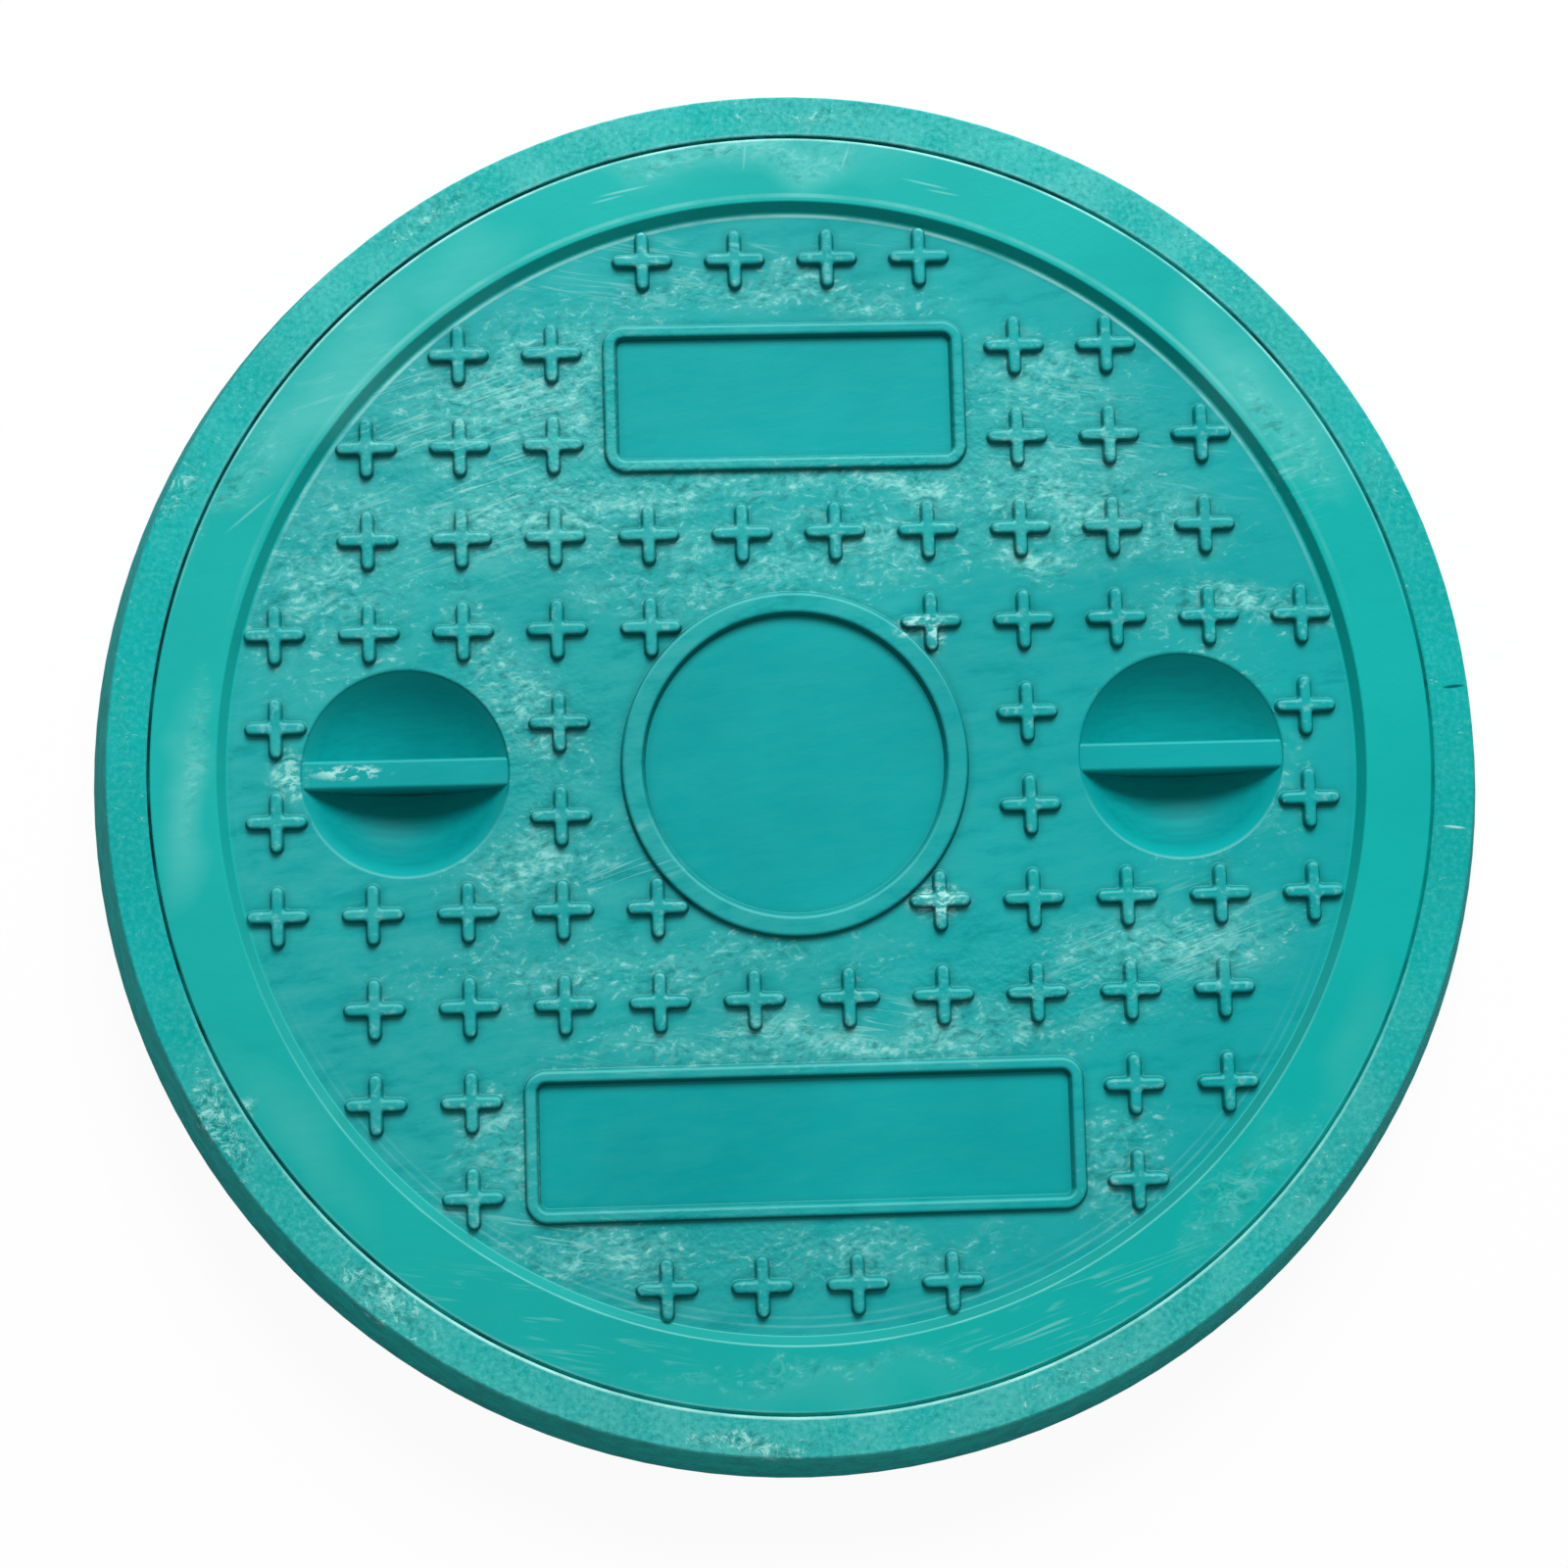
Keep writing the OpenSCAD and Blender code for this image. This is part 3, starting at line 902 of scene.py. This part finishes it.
def cover_finish(name, wear, deep, clean, chipped=False):
    """Moulded resin with a pale film, foamy scuffs, long scratches and chips, set out as on a used cover, with
    painted shade on flanks, in corners, on the step wall and in the bowls, and painted highlights on light-facing
    shoulders and along edges.
    """
    finish = finish_settings()
    made, graph, place = new_finish(name)
    parts = graph.node("ShaderNodeSeparateXYZ", {0: place}).outputs
    x, y, height = parts["X"], parts["Y"], parts["Z"]
    up, ahead = facing(graph)
    out = graph.vector("LENGTH", graph.along(x, y))
    side = graph.math("DIVIDE", y, out)
    field = field_height()
    open_top = ramp(graph, height, field - 0.3 * MM, field - 0.12 * MM)
    ragged = swirl(graph, place, 22, 22)

    base = tint(graph, ramp(graph, noise(graph, place, 55, detail=3.0), 0.35, 0.65), deep, clean)
    # In the bowls: brush marks, and painted shade that darkens the half towards the long plate, under the web
    in_bowl = ramp(graph, height, field - 1.5 * MM, field - 4 * MM)
    brushed_and_shaded = ramp(graph, noise(graph, stretched(graph, place, 0, 0.08), 1.3, detail=3.0), 0.42, 0.62, 0.0, 0.1)
    brushed_and_shaded = graph.math("ADD", brushed_and_shaded, ramp(graph, y, 0.0, -14 * MM, 0.0, 0.24))
    base = tint(graph, product(graph, in_bowl, brushed_and_shaded), base, finish.grime_and_shade)

    smear = noise(graph, stretched(graph, place, BRUSH_TURN, 0.3), 4.0, detail=5.0, roughness=0.68)
    patchy = ramp(graph, noise(graph, place, 24, detail=2.0), 0.42, 0.6, 0.25, 1.0)
    dust = product(graph, ramp(graph, x, -40 * MM, 110 * MM, 1.0, 0.25), wear["dust"])
    film = most(graph, spots(graph, ragged, wear["film"]), dust)
    film = product(graph, film, ramp(graph, smear, 0.36, 0.66, 1.0 - 0.75 * wear["smear"], 1.0 + 0.5 * wear["smear"]))
    floors = product(graph, graph.math("SUBTRACT", 1.0, in_bowl), 0.28)
    film = product(graph, film, most(graph, open_top, floors))
    dull = product(graph, ramp(graph, smear, 0.46, 0.33, 0.0, 0.22 * wear["smear"]), patchy, open_top)
    base = tint(graph, dull, base, finish.grime_and_shade)
    base = worn(graph, film, 0.4, base, finish.film)

    chalky = spots(graph, place, wear["chips"])
    scuffed = product(graph, most(graph, spots(graph, ragged, wear["scuffs"]), chalky), open_top)
    raised = ramp(graph, height, field + 0.4 * MM, field + 1.1 * MM, 1.0, wear["raised"])
    scuffed = product(graph, scuffed, raised)
    pale = noise(graph, stretched(graph, ragged, BRUSH_TURN, 0.45), 5.5, detail=3.0)
    pale = product(graph, ramp(graph, pale, 0.38, 0.62, 0.15, 1.0), scuffed)
    base = worn(graph, pale, 0.5, base, finish.film)
    foam_place = stretched(graph, swirl(graph, place, 6, 3.5), BRUSH_TURN, 0.55)
    foam = noise(graph, foam_place, 1.7, detail=3.5, roughness=0.7)
    bias = product(graph, graph.math("SUBTRACT", pale, 0.8), 0.12)
    flecks = ramp(graph, graph.math("ADD", foam, bias), 0.49, 0.64)
    flecks = product(graph, flecks, ramp(graph, scuffed, 0.0, 0.2, 0.0, wear["flecks"]))
    pits = product(graph, ramp(graph, foam, 0.48, 0.36), ramp(graph, scuffed, 0.05, 0.6))
    strands = contour(graph, noise(graph, foam_place, 3.6, detail=1.5), 0.5, 0.045)
    strands = product(graph, strands, ramp(graph, noise(graph, place, 7.0, detail=2.0), 0.46, 0.58), scuffed, 0.55)
    rising = scratches(graph, place, RISING_TURN, wear["rising"])
    falling = scratches(graph, place, FALLING_TURN, wear["falling"])
    lines = product(graph, most(graph, rising, falling), open_top, 0.95)
    if wear["marks"]:
        lines = most(graph, lines, spots(graph, place, wear["marks"], hard=0.3))
    marks = most(graph, flecks, strands, lines)
    base = worn(graph, pits, 0.45, base, finish.grime_and_shade)
    base = worn(graph, marks, 0.5, base, finish.fleck_and_highlight)
    chalk = product(graph, ramp(graph, chalky, 0.2, 1.2), ramp(graph, foam, 0.48, 0.56))
    chalk = product(graph, chalk, ramp(graph, up, 0.2, 0.6), 0.8)
    base = tint(graph, chalk, base, finish.fleck_and_highlight)

    flank = ramp(graph, up, 0.85, 0.45)
    low = ramp(graph, height, field - 0.8 * MM, field - 0.4 * MM)
    inside = ramp(graph, out, field_radius() - 0.4 * MM, field_radius() - 1.4 * MM)
    # Painted shade on the slope from the rim down to the field, stronger towards +X
    step_wall_shade = within(graph, out, field_radius() + 1.0 * MM, 0.75 * MM, 0.3 * MM)
    step_wall_shade = product(graph, step_wall_shade, ramp(graph, x, -60 * MM, 40 * MM, 0.18, 0.4))
    base = tint(graph, product(graph, step_wall_shade, flank), base, finish.grime_and_shade)
    # Painted shade on steep flanks, strongest on those that face the long plate, away from the light
    away = ramp(graph, ahead, 0.35, -0.35, 0.1, 0.75)
    base = tint(graph, product(graph, flank, low, inside, away), base, finish.grime_and_shade)
    # Painted shade in corners and at the feet of raised parts, from ambient occlusion
    corner = graph.node("ShaderNodeAmbientOcclusion", {"Distance": CORNER_REACH}, samples=CORNER_SAMPLES)
    corner_shade = product(graph, ramp(graph, corner.outputs["AO"], 0.92, 0.5, 0.0, 0.6), low, inside)
    base = tint(graph, corner_shade, base, finish.grime_and_shade)
    if chipped:
        top = ramp(graph, height, field + 0.6 * MM, field + 1.6 * MM)
        edges = product(graph, top, ramp(graph, up, 0.4, 0.7))
        chips = ramp(graph, noise(graph, place, 2.4, detail=4.0, roughness=0.65), 0.54, 0.66)
        base = tint(graph, product(graph, edges, chips, 0.22 * finish.wear), base, finish.fleck_and_highlight)
    # Painted highlight on shoulders that face the short plate, towards the light
    shoulder_highlight = product(graph, ramp(graph, ahead, 0.12, 0.35), ramp(graph, up, 0.5, 0.75), low, 0.12)
    base = tint(graph, shoulder_highlight, base, finish.fleck_and_highlight)
    # Painted highlight in thin rings beside edges, broken up by noise
    ring_highlight = ramp(graph, noise(graph, place, 14, detail=4.0, roughness=0.6), 0.4, 0.58, 0.4, 1.0)
    ring_highlight = product(graph, ring_highlight, ramp(graph, up, 0.6, 0.8), rings(graph, out, side, wear["rings"]))
    base = tint(graph, ring_highlight, base, finish.fleck_and_highlight)

    peel = noise(graph, place, 1.4, detail=1.0)
    if wear["rough"]:
        peel = product(graph, peel, spots(graph, place, wear["rough"]), open_top)
    relief = graph.math("MULTIPLY_ADD", peel, wear["peel"], product(graph, smear, wear["smear"]))
    rough = ramp(graph, most(graph, film, marks), 0.0, 1.0, finish.gloss, 0.62)
    close_finish(graph, base, rough, 0.1, relief)
    return made


def joint_finish():
    """Dirt in the joint, with painted shade: darker on the side of the short plate, where the joint lies in shade,
    and paler towards the far side, with cloudy changes.
    """
    finish, across = finish_settings(), plate_sizes().diameter
    made, graph, place = new_finish("joint_dirt_and_shade")
    # Painted shade: darker towards the short plate, paler towards the far side
    along = graph.vector("DOT_PRODUCT", place, (0.5 / across, -0.6 / across, 0.0))
    cloud = noise(graph, place, 9, detail=3.0)
    share = graph.math("ADD", ramp(graph, along, -0.2, 0.4, 0.05, 0.8), ramp(graph, cloud, 0.3, 0.7, -0.3, 0.3))
    share = graph.math("MULTIPLY", share, 1.0, clamp=True)
    base = tint(graph, share, finish.dark_joint_dirt_and_shade, finish.pale_joint_dirt_in_light)
    close_finish(graph, base, 0.9, 0.05, noise(graph, place, 1.5, detail=2.0))
    return made


def frame_finish():
    """The frame's rougher resin: fine grain, greener tone, foamy pale clusters, painted shade on the walls in mottled
    patches and a painted highlight along the inner edge.
    """
    finish = finish_settings()
    made, graph, place = new_finish("frame_resin")
    parts = graph.node("ShaderNodeSeparateXYZ", {0: place}).outputs
    out = graph.vector("LENGTH", graph.along(parts["X"], parts["Y"]))
    side = graph.math("DIVIDE", parts["Y"], out)
    top = ramp(graph, parts["Z"], COVER_TOP - 1.5 * MM, COVER_TOP - 0.5 * MM)
    cloud = ramp(graph, noise(graph, place, 40, detail=3.0), 0.35, 0.65)
    base = tint(graph, cloud, finish.frame_deep, finish.frame_resin)
    poles = ramp(graph, graph.math("ABSOLUTE", side), 0.25, 0.85, 0.15, 1.0)
    smear = ramp(graph, noise(graph, place, 11, detail=4.0, roughness=0.62), 0.34, 0.68, 0.1, 0.42)
    base = tint(graph, product(graph, smear, top, poles), base, finish.film)
    grain = noise(graph, place, 1.3, detail=3.0, roughness=0.65)
    specks = ramp(graph, poles, 0.15, 1.0, 0.45, 1.0)
    base = tint(graph, product(graph, ramp(graph, grain, 0.5, 0.66, 0.0, 0.4), specks, top), base, finish.film)
    base = tint(graph, product(graph, ramp(graph, grain, 0.46, 0.32, 0.0, 0.3), specks), base, finish.grime_and_shade)
    # Painted shade on the frame's walls, in mottled patches
    walls = graph.math("SUBTRACT", 1.0, top)
    mottled_wall_shade = ramp(graph, noise(graph, place, 5, detail=4.0, roughness=0.65), 0.42, 0.6, 0.1, 0.4)
    base = tint(graph, product(graph, walls, mottled_wall_shade), base, finish.grime_and_shade)
    curdled = swirl(graph, place, 5, 5)
    crumbs = noise(graph, curdled, 1.9, detail=3.5, roughness=0.68)
    cluster = spots(graph, swirl(graph, place, 16, 10), CRUMBS)
    bias = product(graph, graph.math("SUBTRACT", cluster, 1.0), 0.17)
    pale = ramp(graph, graph.math("ADD", crumbs, bias), 0.49, 0.6)
    strands = contour(graph, noise(graph, curdled, 3.0, detail=2.0, distortion=0.6), 0.5, 0.035)
    strands = product(graph, strands, ramp(graph, cluster, 0.25, 0.8), 0.35)
    hollows = product(graph, ramp(graph, crumbs, 0.5, 0.38), ramp(graph, cluster, 0.2, 0.8), 0.5)
    pale = most(graph, pale, strands, spots(graph, place, PALE_MARKS, hard=0.4))
    base = tint(graph, most(graph, hollows, spots(graph, place, DARK_MARKS, hard=0.4)), base, finish.grime_and_shade)
    base = tint(graph, product(graph, pale, 0.6), base, finish.fleck_and_highlight)
    # Painted highlight along the frame's inner edge, mostly on the side of the long plate, where the edge faces the
    # light
    edge_highlight_breakup = ramp(graph, noise(graph, place, 20, detail=4.0, roughness=0.6), 0.38, 0.6, 0.4, 1.0)
    inner = plate_sizes().diameter / 2 / MM + 0.95
    edge = rings(graph, out, side, [(inner, 0.15, 0.2, 0.9)])
    base = tint(graph, product(graph, edge, edge_highlight_breakup, top), base, finish.fleck_and_highlight)
    relief = graph.math("ADD", product(graph, grain, 1.2), product(graph, noise(graph, place, 8, detail=2.0), 0.8))
    relief = graph.math("ADD", relief, product(graph, pale, 1.5))
    close_finish(graph, base, 0.75, 0.05, relief)
    return made


def finish_named(name, maker, *details):
    """The finish of that name, made once. The CAD model's plain materials of the same name step aside."""
    known = bpy.data.materials.get(name)
    if known and known.get("finished"):
        return known
    if known:
        known.name = name + "_plain"
    made = maker(*details)
    made["finished"] = True
    return made


def cover_material():
    finish = finish_settings()
    return finish_named("cover_resin", cover_finish, "cover_resin", FIELD_WEAR, finish.resin_deep, finish.resin)


def cross_material():
    finish = finish_settings()
    name = "cover_cross_resin"
    return finish_named(name, cover_finish, name, FIELD_WEAR, finish.resin_deep, finish.resin, True)


def rim_material():
    finish = finish_settings()
    return finish_named("cover_rim_resin", cover_finish, "cover_rim_resin", RIM_WEAR, finish.rim_deep, finish.rim)


def frame_material():
    return finish_named("frame_resin", frame_finish)


# Operators: one for each piece or group of pieces, and one for the stage


class ACCESSCOVER_OT_ring_frame(bpy.types.Operator):
    """Gives the ring frame its rough resin finish"""

    bl_idname = "access_cover.ring_frame"
    bl_label = "Ring frame"

    def execute(self, context):
        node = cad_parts["frame"]
        for slot in node.material_slots:
            slot.material = frame_material()
        return {"FINISHED"}


class ACCESSCOVER_OT_plate(bpy.types.Operator):
    """Makes the cover's rim, field, floors and underside"""

    bl_idname = "access_cover.plate"
    bl_label = "Cover plate"

    def execute(self, context):
        resin = cover_material()
        path = plate_sizes().diameter / 2
        rim = turned("cover_rim", section_mesh("rim_section", rim_section(path)), path, EDGE_STEPS, rim_material())
        fit(rim, "cover_resin", "cover")
        # A ring of dirt in the joint, coloured with painted shade
        dirt = turned(
            "joint_dirt_and_shade", section_mesh("joint_section", joint_section(), closed=True), path, EDGE_STEPS,
            finish_named("joint_dirt_and_shade", joint_finish),
        )
        fit(dirt, "frame_resin")
        values = {
            "Radius": field_radius() - FIELD_INSET,
            "Height": field_height(),
            "Floor Height": floor_height(),
            "Boss Radius": boss_path(),
            "Recess Middle": recess_middle(),
            "Recess Radius": bowl_section(0.0)[1],
            "Finish": resin,
            **plate_lines(),
        }
        field = shaped("cover_field", bpy.data.meshes.new("field_seed"), field_tree(), values)
        upright(field.data)
        fit(field, "cover_resin", "cover")
        under = piece("cover_underside", underside_mesh())
        under.data.materials.append(resin)
        fit(under, "cover_resin", "cover")
        return {"FINISHED"}


class ACCESSCOVER_OT_recesses(bpy.types.Operator):
    """Makes the two lift recesses and the grip web across each"""

    bl_idname = "access_cover.recesses"
    bl_label = "Lift recesses"

    def execute(self, context):
        recess = recess_sizes()
        path = recess.diameter / 2
        apart = recess_middle() * 2
        section, lip_reach = bowl_section(path)
        bowls = turned(
            "recess_bowls", section_mesh("bowl_section", section), path, RECESS_STEPS, cover_material(), 2, apart
        )
        fit(bowls, "cover_resin", "cover")
        webs = shaped(
            "recess_webs", section_mesh("web_section", web_section(), closed=True), drawn_tree(),
            {"Length": 2 * lip_reach + WEB_OVERRUN, "Apart": apart, "Finish": cover_material()},
        )
        fit(webs, "cover_resin", "cover")
        return {"FINISHED"}


class ACCESSCOVER_OT_boss(bpy.types.Operator):
    """Makes the raised ring at the centre"""

    bl_idname = "access_cover.boss"
    bl_label = "Centre boss"

    def execute(self, context):
        relief = relief_sizes()
        section = section_mesh("boss_section", line_section(relief.boss_width, relief.boss_height))
        ring = turned("boss_ring", section, boss_path(), BOSS_STEPS, cover_material())
        fit(ring, "cover_resin", "cover")
        return {"FINISHED"}


class ACCESSCOVER_OT_marking_plates(bpy.types.Operator):
    """Makes the ridges around the two blank marking plates"""

    bl_idname = "access_cover.marking_plates"
    bl_label = "Marking plates"

    def execute(self, context):
        relief = relief_sizes()
        section = section_mesh("ridge_section", line_section(relief.ridge_width, relief.ridge_height))
        ridges = shaped("plate_ridges", section, ridge_tree(), {"Finish": cover_material(), **plate_lines()})
        fit(ridges, "cover_resin", "cover")
        return {"FINISHED"}


class ACCESSCOVER_OT_crosses(bpy.types.Operator):
    """Sets the grip crosses on the free parts of the field"""

    bl_idname = "access_cover.crosses"
    bl_label = "Grip crosses"

    def execute(self, context):
        cross, relief, recess = cross_sizes(), relief_sizes(), recess_sizes()
        half = cross.length / 2
        crosses = shaped(
            "grip_crosses", cross_mesh(), cross_tree(),
            {
                "Pitch": cross.pitch,
                "Reach": field_radius() - cross.margin,
                "Height": field_height(),
                "Boss Reach": relief.boss_diameter / 2 + cross.width,
                "Recess Middle": recess_middle(),
                "Recess Reach": recess.diameter / 2 + half,
                "Short Reach": relief.short_plate / 2 + half,
                "Long Reach": relief.long_plate / 2 + half,
                "Plate Reach": relief.plate_width / 2 + half,
                "Plate Middle": plate_middle(),
                "Finish": cross_material(),
            },
        )
        fit(crosses, "cover_resin", "cover")
        return {"FINISHED"}


def upright(mesh):
    """Turns flat faces so that they face up."""
    work = bmesh.new()
    work.from_mesh(mesh)
    bmesh.ops.reverse_faces(work, faces=[f for f in work.faces if f.normal.z < 0])
    work.to_mesh(mesh)
    work.free()


class ACCESSCOVER_OT_stage(bpy.types.Operator):
    """Sets up the floor, the studio lights and the camera"""

    bl_idname = "access_cover.stage"
    bl_label = "Studio stage"

    def execute(self, context):
        scene = context.scene
        mesh = bpy.data.meshes.new("studio_floor")
        corners = [(x * FLOOR_HALF, y * FLOOR_HALF, 0) for x, y in ((-1, -1), (1, -1), (1, 1), (-1, 1))]
        mesh.from_pydata(corners, [], [(0, 1, 2, 3)])
        floor = piece("studio_floor", mesh)
        mesh.materials.append(floor_finish())

        lamp = bpy.data.lights.new("key_light", "AREA")
        lamp.shape = "DISK"
        lamp.size = LAMP_SIZE
        lamp.energy = LAMP_WATTS
        key = bpy.data.objects.new("key_light", lamp)
        scene.collection.objects.link(key)
        spot = Vector(LAMP_PLACE)
        key.location = spot
        key.rotation_euler = (-spot).to_track_quat("-Z", "Y").to_euler()

        world = bpy.data.worlds.new("studio")
        world.use_nodes = True
        world.node_tree.nodes.clear()
        graph = Graph(world.node_tree)
        sky = graph.node("ShaderNodeBackground", {"Color": (1.0, 1.0, 1.0, 1.0), "Strength": SKY_STRENGTH})
        graph.node("ShaderNodeOutputWorld", {"Surface": sky.outputs[0]})
        scene.world = world

        lens = bpy.data.cameras.new("photo_camera")
        lens.sensor_width = SENSOR_WIDTH
        lens.lens = LENS
        lens.clip_start = CLIP_START
        lens.shift_x = LENS_SHIFT
        camera = bpy.data.objects.new("photo_camera", lens)
        scene.collection.objects.link(camera)
        turn_x, turn_y, turn_z = (
            Matrix.Rotation(math.radians(degrees), 4, axis) for degrees, axis in zip(CAMERA_TURNS, "XYZ")
        )
        to_camera = turn_z @ turn_y @ turn_x
        camera.matrix_world = Matrix.Translation(CAMERA_PLACE) @ to_camera.transposed()
        scene.camera = camera
        scene.view_settings.view_transform = "Standard"
        return {"FINISHED"}


def floor_finish():
    """A pale studio floor that the camera sees as white, with a light shadow."""
    made, graph, _ = new_finish("studio_floor")
    pale = (*finish_settings().floor, 1.0)
    shader = graph.node("ShaderNodeBsdfDiffuse", {"Color": (FLOOR_GREY, FLOOR_GREY, FLOOR_GREY, 1.0)})
    white = graph.node("ShaderNodeBsdfDiffuse", {"Color": pale})
    glow = graph.node("ShaderNodeEmission", {"Color": pale, "Strength": 1.0})
    shown = graph.node("ShaderNodeMixShader", {0: FLOOR_GLOW, 1: white.outputs[0], 2: glow.outputs[0]})
    rays = graph.node("ShaderNodeLightPath").outputs
    seen = most(graph, rays["Is Camera Ray"], rays["Is Glossy Ray"], rays["Is Transmission Ray"])
    mixed = graph.node("ShaderNodeMixShader", {0: seen, 1: shader.outputs[0], 2: shown.outputs[0]})
    graph.node("ShaderNodeOutputMaterial", {"Surface": mixed.outputs[0]})
    return made


class ACCESSCOVER_PT_panel(bpy.types.Panel):
    """Lists the steps that make the cover"""

    bl_idname = "ACCESSCOVER_PT_panel"
    bl_label = "Access cover"
    bl_space_type = "VIEW_3D"
    bl_region_type = "UI"
    bl_category = "Access cover"

    def draw(self, context):
        for operator in OPERATORS:
            self.layout.operator(operator.bl_idname)
        for group in GROUPS:
            box = self.layout.box()
            settings = getattr(context.scene, group)
            for name in settings.bl_rna.properties.keys():
                if name not in ("rna_type", "name"):
                    box.prop(settings, name)


GROUPS = {
    "access_cover_plate": CoverPlateSizes,
    "access_cover_relief": ReliefSizes,
    "access_cover_recess": RecessSizes,
    "access_cover_cross": CrossSizes,
    "access_cover_finish": FinishSettings,
}
OPERATORS = (
    ACCESSCOVER_OT_ring_frame,
    ACCESSCOVER_OT_plate,
    ACCESSCOVER_OT_recesses,
    ACCESSCOVER_OT_boss,
    ACCESSCOVER_OT_marking_plates,
    ACCESSCOVER_OT_crosses,
    ACCESSCOVER_OT_stage,
)


def register():
    for cls in (*GROUPS.values(), *OPERATORS, ACCESSCOVER_PT_panel):
        bpy.utils.register_class(cls)
    for name, cls in GROUPS.items():
        setattr(bpy.types.Scene, name, bpy.props.PointerProperty(type=cls))


def unregister():
    for name in GROUPS:
        delattr(bpy.types.Scene, name)
    for cls in (ACCESSCOVER_PT_panel, *reversed(OPERATORS), *reversed(list(GROUPS.values()))):
        bpy.utils.unregister_class(cls)


def main():
    register()
    bpy.ops.access_cover.ring_frame()
    bpy.ops.access_cover.plate()
    bpy.ops.access_cover.recesses()
    bpy.ops.access_cover.boss()
    bpy.ops.access_cover.marking_plates()
    bpy.ops.access_cover.crosses()
    bpy.ops.access_cover.stage()


if __name__ == "__main__":
    main()
